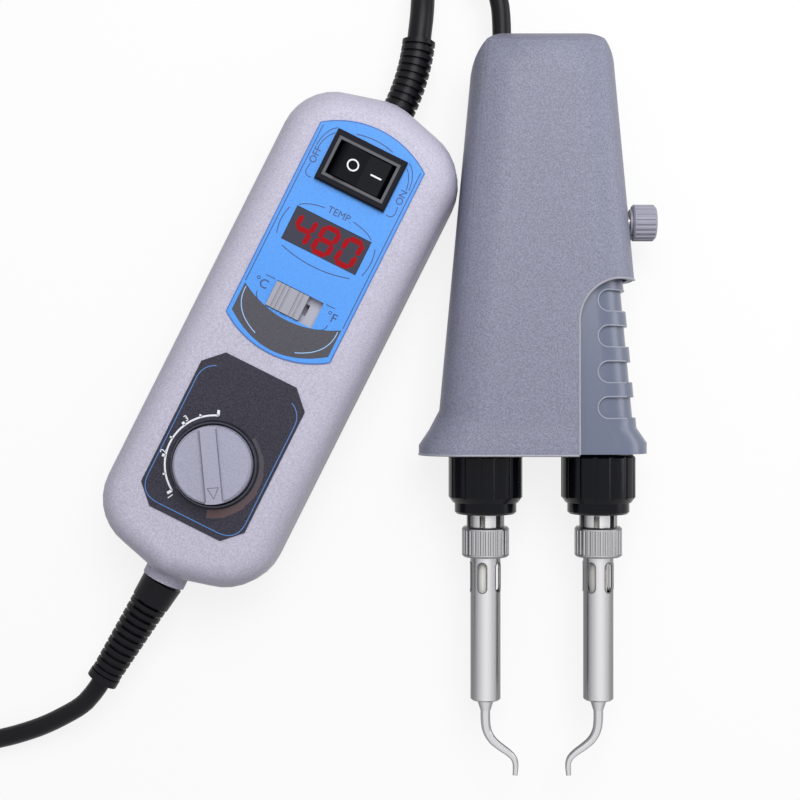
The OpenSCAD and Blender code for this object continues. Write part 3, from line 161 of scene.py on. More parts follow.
MAINS_D = 6.8
LEAD_D = 5.4
MAINS_COIL_AT = (59.1, 185.0)
LEAD_COIL_AT = (-106.0, 163.0)
MAINS_COIL_R = 37.5
LEAD_COIL_R = 30.0
TIE_T = 0.8
HALF_L = 73.3
EXIT_Z = 12.0
RELIEF_BEND = 59.0
RELIEF_TURN = 21.2 / RELIEF_BEND
PLUG_AT = Vector((-20.0, 215.0, 18.5))
LEAD_ENTRY = Vector((36.9, 103.6, 12.0))
MAINS_EXIT = ctrl(
    -RELIEF_BEND * (1 - math.cos(RELIEF_TURN)),
    HALF_L + RELIEF_BEND * math.sin(RELIEF_TURN),
    EXIT_Z,
) / MM
MAINS_WAY = Vector((math.sin(CTRL_TURN - RELIEF_TURN), math.cos(CTRL_TURN - RELIEF_TURN), 0))
LEAD_ROOT = HALF_L + 3.1
LEAD_RELIEF_L = 33.0
LEAD_TILT = math.radians(5)
LEAD_EXIT = ctrl(
    -LEAD_RELIEF_L * math.sin(LEAD_TILT),
    -LEAD_ROOT - LEAD_RELIEF_L * math.cos(LEAD_TILT),
    EXIT_Z,
) / MM
LEAD_WAY = Vector((-math.sin(CTRL_TURN + LEAD_TILT), -math.cos(CTRL_TURN + LEAD_TILT), 0))
MAINS_ROUTE = [
    MAINS_EXIT, MAINS_EXIT + 2 * MAINS_WAY, MAINS_EXIT + Vector((0.9, 8.6, -0.8)),
    (14.8, 124, 8.4), (14.8, 136, 5.2), (14.8, 150, 4.3), (14.8, 167, 4.2), (14.8, 185, 4.2),
]
MAINS_TAIL_ROUTE = [
    (14.8, 185, 11), (13.5, 195, 12), (9, 204, 14), (2, 210.8, 16.4),
    PLUG_AT + Vector((12.5, -0.5, -0.3)), PLUG_AT + Vector((4, 0, 0)), PLUG_AT,
]
LEAD_ROUTE_LOW = [
    LEAD_EXIT, LEAD_EXIT + 2 * LEAD_WAY, LEAD_EXIT + Vector((-4.85, -6.35, -1.4)),
    LEAD_EXIT + Vector((-9.85, -9.85, -2.9)), LEAD_EXIT + Vector((-19.2, -14.6, -5.5)),
    (-108, -96.9, 4.2), (-119, -98.4, 3), (-129, -95.5, 2.8), (-136.5, -88.3, 2.7),
    (-140, -78, 2.7), (-140.7, -66, 2.7), (-140.6, -52, 2.7), (-140.5, -38, 2.7),
    (-140, -24, 2.7), (-139.5, -8, 2.7), (-139, 8, 2.7), (-138.5, 24, 2.7),
    (-138.2, 40, 2.7), (-138, 56, 2.7), (-138, 72, 2.7), (-138.2, 88, 2.7),
    (-138.4, 104, 2.8), (-138.6, 120, 3), (-138.7, 136, 3.3), (-138.7, 150, 3.5),
    (-138.7, 163, 3.5),
]
LEAD_ROUTE_HIGH = [
    (-106, 195.7, 8.9), (-95, 195.4, 8.2), (-82, 192.5, 6.4), (-69, 187, 4.4), (-56, 180.5, 3.2),
    (-43, 173.5, 2.8), (-30, 166, 3.4), (-18, 159, 5.4), (-6, 152.2, 8.6), (6, 145.4, 11.2),
    (18, 138.6, 11.9), (26.5, 132.2, 11.9), (32.5, 124.5, 12), (36, 115.6, 12),
    LEAD_ENTRY + Vector((0, 4.4, 0)), LEAD_ENTRY - Vector((0, 6, 0)),
]


def cells(mid_r, wide, d):
    """Middle of each strand in a coil of two layers: out to in below, then in to out above."""
    rings = [mid_r + d * ((wide - 1) / 2 - i) for i in range(wide)]
    low, high = TIE_T + d / 2, TIE_T + 1.5 * d
    return [(r, low) for r in rings] + [(r, high) for r in reversed(rings)]


mains_points = (
    smooth(MAINS_ROUTE)
    + coil(MAINS_COIL_AT, cells(MAINS_COIL_R, 3, MAINS_D), 5.0, [215, 170, 125, 80, 35])
    + smooth(MAINS_TAIL_ROUTE)
)
lead_points = (
    smooth(LEAD_ROUTE_LOW)
    + coil(LEAD_COIL_AT, cells(LEAD_COIL_R, 2, LEAD_D), 3.25, [215, 155, 95])
    + smooth(LEAD_ROUTE_HIGH)
)
mains_cord = cord_piece("mains_lead", mains_points, MAINS_D)
handle_cord = cord_piece("handle_lead", lead_points, LEAD_D)
for piece in (mains_cord, handle_cord):
    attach(piece, "base")
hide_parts("mains_cord", "mains_coil")
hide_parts("handle_cord", "handle_cord_coil")


# Materials
def material(name, rgb, roughness=0.5, metallic=0.0, coat=0.0, specular=0.5):
    mat = bpy.data.materials.new(name)
    mat.use_nodes = True
    shader = mat.node_tree.nodes["Principled BSDF"]
    shader.inputs["Base Color"].default_value = linear(rgb)
    shader.inputs["Roughness"].default_value = roughness
    shader.inputs["Metallic"].default_value = metallic
    shader.inputs["Coat Weight"].default_value = coat
    shader.inputs["Specular IOR Level"].default_value = specular
    return mat


def grain(mat, size_mm, depth, speckle=0.0, rgb=None):
    """Fine moulded grain, with an optional speckle of the colour."""
    tree = mat.node_tree
    shader = tree.nodes["Principled BSDF"]
    place = tree.nodes.new("ShaderNodeTexCoord")
    noise = tree.nodes.new("ShaderNodeTexNoise")
    noise.inputs["Scale"].default_value = 1.0 / (size_mm * MM)
    noise.inputs["Detail"].default_value = 3.0
    tree.links.new(place.outputs["Object"], noise.inputs["Vector"])
    bump = tree.nodes.new("ShaderNodeBump")
    bump.inputs["Strength"].default_value = depth
    bump.inputs["Distance"].default_value = 0.1 * MM
    tree.links.new(noise.outputs["Fac"], bump.inputs["Height"])
    tree.links.new(bump.outputs["Normal"], shader.inputs["Normal"])
    if speckle:
        ramp = tree.nodes.new("ShaderNodeValToRGB")
        base = linear(rgb)
        low = tuple(c * (1 - speckle) for c in base[:3]) + (1.0,)
        high = tuple(min(1.0, c * (1 + speckle)) for c in base[:3]) + (1.0,)
        ramp.color_ramp.elements[0].position = 0.35
        ramp.color_ramp.elements[0].color = low
        ramp.color_ramp.elements[1].position = 0.65
        ramp.color_ramp.elements[1].color = high
        tree.links.new(noise.outputs["Fac"], ramp.inputs["Fac"])
        tree.links.new(ramp.outputs["Color"], shader.inputs["Base Color"])
    return mat


MARKS_ALONG = 20.0


def brushed(mat, axis, size_mm, depth):
    """Fine turning marks across an axis."""
    tree = mat.node_tree
    shader = tree.nodes["Principled BSDF"]
    place = tree.nodes.new("ShaderNodeTexCoord")
    stretch = tree.nodes.new("ShaderNodeMapping")
    scale = [MARKS_ALONG] * 3
    scale[axis] = 1.0 / (size_mm * MM)
    stretch.inputs["Scale"].default_value = scale
    noise = tree.nodes.new("ShaderNodeTexNoise")
    noise.inputs["Scale"].default_value = 1.0
    noise.inputs["Detail"].default_value = 2.0
    bump = tree.nodes.new("ShaderNodeBump")
    bump.inputs["Strength"].default_value = depth
    bump.inputs["Distance"].default_value = 0.05 * MM
    tree.links.new(place.outputs["Object"], stretch.inputs["Vector"])
    tree.links.new(stretch.outputs["Vector"], noise.inputs["Vector"])
    tree.links.new(noise.outputs["Fac"], bump.inputs["Height"])
    tree.links.new(bump.outputs["Normal"], shader.inputs["Normal"])
    return mat


def painted_slope_shade(mat, stops):
    """Painted shade and painted reflection on metal: greys that are darker on its steep sides and
    lighter where it faces up. Each stop is an upward share and a grey.
    """
    tree = mat.node_tree
    shader = tree.nodes["Principled BSDF"]
    shape = tree.nodes.new("ShaderNodeNewGeometry")
    parts = tree.nodes.new("ShaderNodeSeparateXYZ")
    ramp = tree.nodes.new("ShaderNodeValToRGB")
    tree.links.new(shape.outputs["True Normal"], parts.inputs["Vector"])
    tree.links.new(parts.outputs["Z"], ramp.inputs["Fac"])
    tree.links.new(ramp.outputs["Color"], shader.inputs["Base Color"])
    marks = ramp.color_ramp.elements
    for i, (share, grey) in enumerate(stops):
        mark = marks[i] if i < len(marks) else marks.new(share)
        mark.position = share
        mark.color = linear((grey, grey - 1, grey + 2))
    return mat


HANDLE_RGB = (126, 128, 146)
LEVER_RGB = (98, 105, 126)
CASE_RGB = (181, 178, 196)
BLUE_RGB = (76, 147, 230)
DARK_RGB = (55, 54, 65)
KNOB_RGB = (154, 154, 174)
handle_mat = grain(
    material("handle_plastic", HANDLE_RGB, 0.45, specular=0.25), 0.45, 0.6, 0.2, HANDLE_RGB
)
lever_mat = grain(material("lever_plastic", LEVER_RGB, 0.27, specular=0.45), 0.6, 0.04)
case_mat = grain(material("case_plastic", CASE_RGB, 0.42, specular=0.25), 0.45, 0.5, 0.14, CASE_RGB)
blue_mat = grain(material("label_blue", BLUE_RGB, 0.45, specular=0.3), 0.4, 0.05, 0.08, BLUE_RGB)
dark_mat = grain(material("label_dark", DARK_RGB, 0.5, specular=0.12), 0.4, 0.05, 0.3, DARK_RGB)
black_mat = material("switch_black", (14, 15, 21), 0.5, specular=0.08)
frame_mat = material("switch_frame", (20, 22, 30), 0.5, specular=0.08)
collar_mat = material("collar_black", (6, 7, 14), 0.2, coat=0.04, specular=0.14)
window_mat = material("window_smoke", (60, 60, 74), 0.4, specular=0.08)
white_mat = material("module_white", (228, 228, 226), 0.5)
knob_mat = grain(material("knob_grey", KNOB_RGB, 0.45), 0.4, 0.35, 0.1, KNOB_RGB)
stop_mat = grain(material("stop_grey", (142, 141, 156), 0.45), 0.4, 0.2)
cap_mat = material("cap_grey", (150, 150, 163), 0.45)
slide_mat = material("slide_grey", (170, 171, 184), 0.5)
ring_mat = material("ring_grey", (74, 76, 86), 0.25, 0.9)
steel_mat = material("steel", (200, 200, 202), 0.28, 1.0)
# Sleeves: turning marks as bumps, with painted shade and reflection in their greys by slope
sleeve_mat = painted_slope_shade(
    brushed(material("sleeve_steel", (200, 199, 202), 0.22, 0.97), 1, 0.25, 0.2),
    ((0.0, 88), (0.5, 122), (0.75, 152), (0.93, 200), (1.0, 226)),
)
# Painted shade and reflection by slope on the nickel parts
nickel_mat = painted_slope_shade(
    material("nickel", (178, 175, 172), 0.24, 0.9),
    ((0.0, 70), (0.5, 108), (0.8, 150), (1.0, 190)),
)
# Painted shade and reflection by slope on the ferrules
ferrule_mat = painted_slope_shade(
    material("ferrule_nickel", (190, 187, 185), 0.3, 0.85),
    ((0.0, 84), (0.5, 130), (0.8, 180), (1.0, 218)),
)
brass_mat = material("brass", (205, 170, 96), 0.3, 1.0)
# Painted shade and reflection by slope on the tips
tip_mat = painted_slope_shade(
    material("tip_metal", (200, 199, 202), 0.22, 0.97),
    ((0.0, 84), (0.5, 122), (0.8, 176), (1.0, 222)),
)
ceramic_mat = material("ceramic", (238, 237, 232), 0.35)
rubber_mat = grain(material("rubber_black", (14, 14, 20), 0.36, specular=0.16), 0.6, 0.1)
cord_mat = material("cord_black", (12, 12, 18), 0.38, specular=0.17)
board_mat = material("board_green", (36, 104, 60), 0.5)
sink_mat = material("sink_metal", (190, 190, 194), 0.4, 1.0)
part_mat = material("part_black", (30, 30, 30), 0.6)
film_mat = material("film_yellow", (200, 168, 60), 0.5)

LOOKS = {
    handle_mat: ["handle_front_shell", "handle_rear_shell"],
    lever_mat: ["lever_grip"],
    case_mat: ["case_top", "case_bottom"],
    blue_mat: ["upper_label"],
    dark_mat: ["lower_label"],
    black_mat: ["rocker_button"],
    frame_mat: ["rocker_frame"],
    collar_mat: ["fixed_socket", "fixed_collar_nut", "fixed_lock_ring"]
    + ["moving_socket", "moving_collar_nut", "moving_lock_ring"],
    window_mat: ["display_window"],
    white_mat: ["display_module"],
    knob_mat: ["dial_knob"],
    stop_mat: ["adjuster_knob"],
    cap_mat: ["slide_switch_cap"],
    slide_mat: ["slide_switch_body"],
    ring_mat: ["dial_ring"],
    steel_mat: ["handle_screws", "lever_pivot_pin", "return_spring", "adjuster_screw"]
    + ["case_screws", "board_screws", "dial_shaft", "potentiometer_nut"],
    sleeve_mat: ["fixed_sleeve", "moving_sleeve"],
    nickel_mat: ["fixed_tip_nut", "moving_tip_nut", "plug_pins"],
    ferrule_mat: ["fixed_ferrule", "moving_ferrule"],
    brass_mat: ["adjuster_insert", "rocker_terminals", "potentiometer"],
    tip_mat: ["fixed_tip", "moving_tip"],
    ceramic_mat: ["fixed_heater", "moving_heater"],
    rubber_mat: ["cord_bush", "mains_strain_relief", "handle_strain_relief"]
    + ["mains_plug", "cord_ties"],
    cord_mat: ["mains_cord", "mains_coil", "handle_cord", "handle_cord_coil"],
    board_mat: ["display_board", "main_board"],
    sink_mat: ["heat_sink"],
    part_mat: ["power_triac"],
    film_mat: ["filter_capacitor"],
}
for mat, names in LOOKS.items():
    for name in names:
        mesh = nodes[name].data
        mesh.materials.clear()
        mesh.materials.append(mat)
for piece in (mains_cord, handle_cord):
    piece.data.materials.append(cord_mat)


def soften(name, degrees):
    """Smooth shading over a piece's facets, with its sharp edges kept."""
    obj = nodes[name]
    mesh = obj.data
    if "custom_normal" in mesh.attributes:
        mesh.attributes.remove(mesh.attributes["custom_normal"])
    mesh.polygons.foreach_set("use_smooth", [True] * len(mesh.polygons))
    weld = obj.modifiers.new("weld", "WELD")
    weld.merge_threshold = 0.005 * MM
    split = obj.modifiers.new("split", "EDGE_SPLIT")
    split.split_angle = math.radians(degrees)
    split.use_edge_sharp = False
    obj.modifiers.new("soften", "WEIGHTED_NORMAL")


for name in ("handle_front_shell", "handle_rear_shell"):
    soften(name, 55)
for name in ("lever_grip", "case_top", "case_bottom"):
    soften(name, 40)
for name in ("fixed_tip", "moving_tip"):
    soften(name, 60)

# Return spring, as a piece of its own with its own mesh, on the base. The real spring shortens as
# the lever is squeezed.
spring = bpy.data.objects.new("spring_coils", nodes["return_spring"].data.copy())
scene.collection.objects.link(spring)
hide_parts("return_spring")
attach(spring, "base")
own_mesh(spring)

# Printed and raised marks, in millimetres, with a capital's height as a share of its font's size
INK_LIFT = 0.04
CAPITAL = 0.7
CORNERS = [(-1, -1), (1, -1), (1, 1), (-1, 1)]


def round_points(centre, r, a0, a1, steps):
    """Places on an arc, from one angle to the other in degrees."""
    out = []
    for i in range(steps + 1):
        a = math.radians(a0 + (a1 - a0) * i / steps)
        out.append((centre[0] + r * math.cos(a), centre[1] + r * math.sin(a)))
    return out


class Print:
    """Flat marks of one colour that are made into one piece."""

    def __init__(self, z=PANEL_Z + INK_LIFT):
        self.verts, self.faces, self.z = [], [], z

    def at(self, u, v):
        return ctrl(u, v + FACE_SHIFT, self.z)

    def quad(self, a, b, c, d):
        start = len(self.verts)
        self.verts += [self.at(*p) for p in (a, b, c, d)]
        self.faces.append((start, start + 1, start + 2, start + 3))

    def line(self, points, width, closed=False):
        pts = [Vector(p) for p in points]
        count = len(pts)
        edges = []
        for i, p in enumerate(pts):
            before = pts[i - 1] if i or closed else p
            after = pts[(i + 1) % count] if i + 1 < count or closed else p
            along = (after - before).normalized()
            across = Vector((-along.y, along.x)) * width / 2
            edges.append((p + across, p - across))
        last = count if closed else count - 1
        for i in range(last):
            a, b = edges[i], edges[(i + 1) % count]
            self.quad(a[1], b[1], b[0], a[0])

    def arc(self, centre, r, a0, a1, width, steps=40):
        self.line(round_points(centre, r, a0, a1, steps), width)

    def bend(self, start, middle, end, width, steps=16):
        """A curve from start to end that is pulled towards middle."""
        a, m, b = Vector(start), Vector(middle), Vector(end)
        pts = []
        for i in range(steps + 1):
            t = i / steps
            pts.append(a * (1 - t) ** 2 + m * 2 * t * (1 - t) + b * t * t)
        self.line(pts, width)

    def words(self, body, at, height, turn=0.0, weight=0.0, shear=0.0):
        font = bpy.data.curves.new("words", "FONT")
        font.body = body
        font.align_x = "CENTER"
        font.align_y = "CENTER"
        font.size = height / CAPITAL
        font.offset = weight
        font.shear = shear
        font.resolution_u = 4
        holder = bpy.data.objects.new("words", font)
        scene.collection.objects.link(holder)
        mesh = holder.to_mesh()
        c, s = math.cos(math.radians(turn)), math.sin(math.radians(turn))
        start = len(self.verts)
        for v in mesh.vertices:
            x, y = v.co.x, v.co.y
            self.verts.append(self.at(at[0] + x * c - y * s, at[1] + x * s + y * c))
        for face in mesh.polygons:
            self.faces.append(tuple(start + i for i in face.vertices))
        holder.to_mesh_clear()
        bpy.data.objects.remove(holder)
        bpy.data.curves.remove(font)

    def piece(self, name, mat, slot_name, body="base"):
        mesh = bpy.data.meshes.new(name)
        mesh.from_pydata(self.verts, [], self.faces)
        mesh.materials.append(mat)
        obj = bpy.data.objects.new(name, mesh)
        scene.collection.objects.link(obj)
        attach(obj, body)
        return obj


ink_mat = material("ink_navy", (34, 58, 108), 0.5)
pale_mat = material("ink_pale", (150, 186, 232), 0.5)
edge_mat = material("edge_blue", (52, 98, 168), 0.5)
line_blue_mat = material("ink_blue", (72, 120, 184), 0.5)
white_ink_mat = material("ink_white", (226, 228, 236), 0.5)
crescent_mat = grain(material("ink_charcoal", DARK_RGB, 0.5), 0.4, 0.05, 0.3, DARK_RGB)
HEAT_RGBS = [(78, 54, 58), (74, 54, 59), (70, 54, 60), (65, 54, 62), (61, 54, 63), (57, 54, 64)]
heat_mats = [material("ink_heat_%d" % i, rgb, 0.5) for i, rgb in enumerate(HEAT_RGBS)]
# Painted highlight on the shell's rounded rims
rim_highlight_mat = material("rim_grey", (150, 150, 162), 0.35)
# Painted highlight on the finger grooves' edges
groove_highlight_mat = material("groove_grey", (138, 143, 158), 0.35)
# Painted shade at the walls of the vent slots
vent_shade_mat = material("vent_edge", (92, 91, 96), 0.4)
# Painted highlight on the rocker frame's inner bevel
bevel_highlight_mat = material("bevel_grey", (88, 88, 95), 0.5, specular=0.2)
digit_mat = material("digit_red", (150, 14, 24), 0.5, specular=0.05)
shader = digit_mat.node_tree.nodes["Principled BSDF"]
shader.inputs["Emission Color"].default_value = linear((150, 16, 26))
shader.inputs["Emission Strength"].default_value = 0.1

# Upper label
FINE = 0.24
navy = Print()
SIDE = 14.75
SIDE_TOP = 56.2
SIDE_FOOT = 9.0
for sign in (-1, 1):
    navy.line([(sign * SIDE, SIDE_FOOT), (sign * SIDE, SIDE_TOP)], FINE)
    navy.bend((sign * 14.0, 50.5), (sign * 13.6, 55.6), (sign * 10.8, 57.2), FINE)
    navy.bend((sign * 13.3, 50.2), (sign * 12.9, 53.8), (sign * 10.9, 55.6), FINE)
    navy.bend((sign * 13.2, 45.2), (sign * 14.2, 41.4), (sign * 11.4, 41.9), FINE)
    navy.bend((sign * 10.9, 33.9), (sign * 9.0, 35.6), (sign * 4.3, 36.2), FINE)
    navy.bend((sign * 12.9, 32.2), (sign * 14.3, 28.2), (sign * 12.9, 24.2), FINE)
    navy.line([(sign * 7.7, 12.9), (sign * 10.4, 12.9)], FINE)
    navy.bend((sign * 10.6, 8.0), (sign * 10.6, 6.0), (sign * 8.4, 5.6), FINE)
navy.bend((-5.4, 57.9), (0, 59.4), (5.4, 57.9), FINE)
navy.bend((-10.3, 22.0), (0, 18.9), (10.3, 22.0), FINE)
navy.words("OFF", (-13.0, 47.9), 1.9, 90, 0.015)
navy.words("ON", (13.1, 47.9), 1.9, 90, 0.015)
navy.words("TEMP.", (0.2, 36.3), 1.95)
navy.words("\u00b0C", (-10.6, 10.3), 2.5, 0, 0.012)
navy.words("\u00b0F", (10.6, 10.3), 2.5, 0, 0.012)
navy.piece("upper_marks", ink_mat, "label_dark")
edge = Print()
edge_line = round_points((0, 35.4), 26.3, 90 - 36.65, 90 + 36.65, 40)
edge_line += round_points((0, 21.1), 26.9, 270 - 35.7, 270 + 35.7, 40)
edge.line(edge_line, 0.3, closed=True)
edge.piece("label_edge", edge_mat, "label_blue")

# Dark crescent at the foot of the upper label
CRESCENT_HALF = 14.6


def crescent_top(u):
    return 4.25 + 4.2 * (u / CRESCENT_HALF) ** 2


def crescent_foot(u):
    return -4.9 + 5.3 * (u / CRESCENT_HALF) ** 2


crescent = Print(PANEL_Z + INK_LIFT / 2)
CRESCENT_STEPS = 32
for i in range(CRESCENT_STEPS):
    a = CRESCENT_HALF * (2 * i / CRESCENT_STEPS - 1)
    b = CRESCENT_HALF * (2 * (i + 1) / CRESCENT_STEPS - 1)
    crescent.quad(
        (a, crescent_foot(a)), (b, crescent_foot(b)), (b, crescent_top(b)), (a, crescent_top(a))
    )
crescent.piece("upper_crescent", crescent_mat, "label_dark")
pale = Print()
for sign in (-1, 1):
    pale.bend((sign * 13.9, 7.6), (sign * 14.3, 0.6), (sign * 6.0, -2.6), FINE)
pale.piece("crescent_line", pale_mat, "label_blue")

# Lower label
DIAL_V = -39.53
outline = Print()
LOWER_HALF = 14.85
LOWER_FOOT = -55.6
LOWER_R = 6.0
for sign in (-1, 1):
    outline.bend((sign * LOWER_HALF, -20.6), (sign * LOWER_HALF, -16.8), (sign * 11.4, -15.2), FINE)
    outline.line([(sign * LOWER_HALF, -20.6), (sign * LOWER_HALF, LOWER_FOOT + LOWER_R)], FINE)
    outline.bend(
        (sign * LOWER_HALF, LOWER_FOOT + LOWER_R), (sign * LOWER_HALF, LOWER_FOOT),
        (sign * (LOWER_HALF - LOWER_R), LOWER_FOOT), FINE,
    )
outline.line([(-LOWER_HALF + LOWER_R, LOWER_FOOT), (LOWER_HALF - LOWER_R, LOWER_FOOT)], FINE)
outline.piece("lower_outline", line_blue_mat, "label_blue")
scale = Print()
SCALE_R = 13.35
TICKS = ((111.6, 1.5), (132, 0.8), (153, 1.0), (174, 0.8), (196, 1.0), (217, 0.8), (238, 1.5))
FINE_TICK = 0.9
dial_centre = (0, DIAL_V)
scale.arc(dial_centre, SCALE_R, 111, 238, 0.5)
for angle, reach in TICKS:
    a = math.radians(angle)
    way = Vector((math.cos(a), math.sin(a)))
    foot = Vector(dial_centre) + way * SCALE_R
    scale.line([foot, foot + way * reach], 0.75 if reach > FINE_TICK else 0.5)
for digit, angle, r in (("1", 242.5, 14.55), ("2", 191.5, 14.2), ("3", 147.5, 14.6)):
    a = math.radians(angle)
    at = (dial_centre[0] + r * math.cos(a), dial_centre[1] + r * math.sin(a))
    scale.words(digit, at, 1.6, angle - 90, 0.02)
scale.piece("dial_scale", white_ink_mat, "module_white")
HEAT_FIRST, HEAT_ARC, HEAT_STEPS = -72, 22, 8
HEAT_R, HEAT_WIDE, HEAT_LOSS = 12.3, 2.3, 0.28
for i, mat in enumerate(heat_mats):
    heat = Print(PANEL_Z + INK_LIFT / 2)
    low = HEAT_FIRST + HEAT_ARC * i
    wide = HEAT_WIDE - HEAT_LOSS * i
    for k in range(HEAT_STEPS):
        a0, a1 = low + HEAT_ARC * k / HEAT_STEPS, low + HEAT_ARC * (k + 1) / HEAT_STEPS
        inner = round_points(dial_centre, HEAT_R, a0, a1, 1)
        outer = round_points(dial_centre, HEAT_R + wide, a0, a1, 1)
        heat.quad(inner[0], outer[0], outer[1], inner[1])
    heat.piece("heat_band_%d" % i, mat, "label_dark")

# Display digits: bars a to g of each figure
BARS = {"4": "bcfg", "8": "abcdefg", "0": "abcdef"}
DIGIT_W, DIGIT_H, BAR = 4.3, 7.4, 1.45
BAR_GAP = 0.05
SLANT = 0.1
DIGIT_V = 28.2
WINDOW_TOP = 30.1
digits = Print(WINDOW_TOP + INK_LIFT)


def bar(middle, bar_name):
    """Adds one bar of a figure with its middle at a place on the window."""
    w, h, t = DIGIT_W / 2, DIGIT_H / 2, BAR / 2
    flat = {"a": h, "g": 0, "d": -h}
    upright = {"f": (-w, h / 2), "b": (w, h / 2), "e": (-w, -h / 2), "c": (w, -h / 2)}
    if bar_name in flat:
        y = flat[bar_name]
        x0, x1 = -w + BAR_GAP, w - BAR_GAP
        pts = [(x0, y), (x0 + t, y - t), (x1 - t, y - t)]
        pts += [(x1, y), (x1 - t, y + t), (x0 + t, y + t)]
    else:
        x, y = upright[bar_name]
        y0, y1 = y - h / 2 + BAR_GAP, y + h / 2 - BAR_GAP
        pts = [(x, y0), (x + t, y0 + t), (x + t, y1 - t)]
        pts += [(x, y1), (x - t, y1 - t), (x - t, y0 + t)]
    start = len(digits.verts)
    for x, y in pts:
        digits.verts.append(digits.at(middle[0] + x + SLANT * y, middle[1] + y))
    digits.faces.append(tuple(range(start, start + len(pts))))


for figure, u in (("4", -6.9), ("8", 0.0), ("0", 7.0)):
    for bar_name in BARS[figure]:
        bar((u, DIGIT_V), bar_name)
digits.piece("display_digits", digit_mat, "label_dark")

# Grey band on the inner bevel of the rocker's frame, a painted highlight on the black frame, and
# the marks that lie on the rocker's two faces
ROCKER_AT = (0.0, 50.87, 27.6)
ROCKER_TILT = math.radians(10)
APEX = 4.1
apex = Vector((APEX * math.sin(ROCKER_TILT), APEX * math.cos(ROCKER_TILT)))


class RockerPrint(Print):
    """Marks on a face of the rocker, from the distance to its middle ridge."""

    def at(self, u, v):
        if u < apex.x:
            reach = (apex.x - u) / math.cos(2 * ROCKER_TILT)
            rise = reach * math.sin(2 * ROCKER_TILT)
        else:
            rise = 0.0
        return ctrl(u, ROCKER_AT[1] + v, ROCKER_AT[2] + apex.y + rise + INK_LIFT)


FRAME_H = 1.8
bevel = Print(PANEL_Z + FRAME_H + INK_LIFT)
BEVEL_IN, BEVEL_OUT = (8.4, 5.05), (9.15, 5.8)
BEVEL_V = ROCKER_AT[1] - FACE_SHIFT
for (a, b), (c, d) in zip(CORNERS, CORNERS[1:] + CORNERS[:1]):
    bevel.quad(
        (a * BEVEL_OUT[0], BEVEL_V + b * BEVEL_OUT[1]),
        (c * BEVEL_OUT[0], BEVEL_V + d * BEVEL_OUT[1]),
        (c * BEVEL_IN[0], BEVEL_V + d * BEVEL_IN[1]),
        (a * BEVEL_IN[0], BEVEL_V + b * BEVEL_IN[1]),
    )
bevel.piece("rocker_bevel", bevel_highlight_mat, "switch_black")
marks = RockerPrint()
marks.line(round_points((-2.4, 0), 1.45, 0, 360, 36)[:-1], 0.42, closed=True)
marks.line([(2.9, 0), (6.1, 0)], 0.45)
marks.piece("rocker_marks", white_ink_mat, "module_white", "rocker")

# Pointer on the dial knob, and darker lines along both edges of its grip bar as painted shade
DIAL_POINTER = math.radians(-58)
KNOB_GAP, KNOB_H, KNOB_BAR_H = 0.4, 5, 1.1
KNOB_TOP = PANEL_Z + KNOB_GAP + KNOB_H + KNOB_BAR_H
# Half length and side offset of the painted shade lines along the grip bar
KNOB_LINE = 9.6
KNOB_LINE_SIDE = 2.25
pointer = Print(KNOB_TOP + INK_LIFT)


def on_knob(along, across):
    c, s = math.cos(DIAL_POINTER), math.sin(DIAL_POINTER)
    return (along * c - across * s, DIAL_V + along * s + across * c)


pointer.line([on_knob(8.9, 0), on_knob(6.0, 1.5), on_knob(6.0, -1.5)], 0.38, closed=True)
# Painted shade along both sides of the knob's raised grip bar
for sign in (-1, 1):
    side = KNOB_LINE_SIDE * sign
    pointer.line([on_knob(-KNOB_LINE, side), on_knob(KNOB_LINE, side)], 0.25)
pointer.piece("dial_pointer", material("pointer_and_bar_shade", (92, 92, 104), 0.5), "knob_grey", "dial")

# Lighter lines along the shell's rounded rims, beside the lever and along the flange: a painted
# highlight on these edges
HANDLE = (48.0, -14.0)
HANDLE_L, LOW_HALF, TOP_HALF = 117.6, 28.8, 19.0
SHELL_TOP, FLANGE_TOP, EDGE_R = 30.5, 31.0, 12.5
OPENING_X, OPENING_TOP, OPENING_R = 8.7, 48.7, 12.0
FLARE, FLANGE_HALF, FLANGE_FLOOR = 13.0, 34.7, 2.5
RIM_R, RIM_INSET, RIM_SINK = 0.35, 0.4, 0.2


def side_x(y):
    """Half width of the handle at a distance from its lower end."""
    return LOW_HALF - (y - FLARE) * (LOW_HALF - TOP_HALF) / (HANDLE_L - FLARE)


def shell_z(x, y):
    """Height of the front shell over a place on the handle."""
    rise = min(1.0, max(0.0, (FLARE - y) / (FLARE - FLANGE_FLOOR)))
    flat = SHELL_TOP + (FLANGE_TOP - SHELL_TOP) * rise
    over = x - (side_x(y) - EDGE_R)
    return flat if over <= 0 else flat - EDGE_R + math.sqrt(EDGE_R**2 - min(over, EDGE_R) ** 2)


turn_x, turn_y = OPENING_X + OPENING_R, OPENING_TOP - OPENING_R
rim_end = side_x(OPENING_TOP) - RIM_INSET
rim = [(OPENING_X, RIM_INSET + i * (turn_y - RIM_INSET) / 24) for i in range(24)]
rim += round_points((turn_x, turn_y), OPENING_R, 180, 90, 24)
rim += [(turn_x + (rim_end - turn_x) * (i + 1) / 12, OPENING_TOP) for i in range(12)]
rim_points = [
    Vector((HANDLE[0] + x, HANDLE[1] + y, shell_z(x, y) - 0.6 * RIM_R)) for x, y in rim
]
foot_points = [
    Vector((HANDLE[0] + x, HANDLE[1] + RIM_SINK, z - RIM_SINK))
    for x, z in round_points((EDGE_R - FLANGE_HALF, FLANGE_TOP - EDGE_R), EDGE_R - 0.1, 180, 90, 20)
]
foot_points.append(
    Vector((HANDLE[0] + OPENING_X - RIM_SINK, HANDLE[1] + RIM_SINK, FLANGE_TOP - 0.3))
)
# Lighter tubes that paint the highlight on the rims
for name, points in (("opening_rim", rim_points), ("flange_rim", foot_points)):
    piece = cord_piece(name, points, 2 * RIM_R)
    piece.data.materials.append(rim_highlight_mat)
    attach(piece, "base")
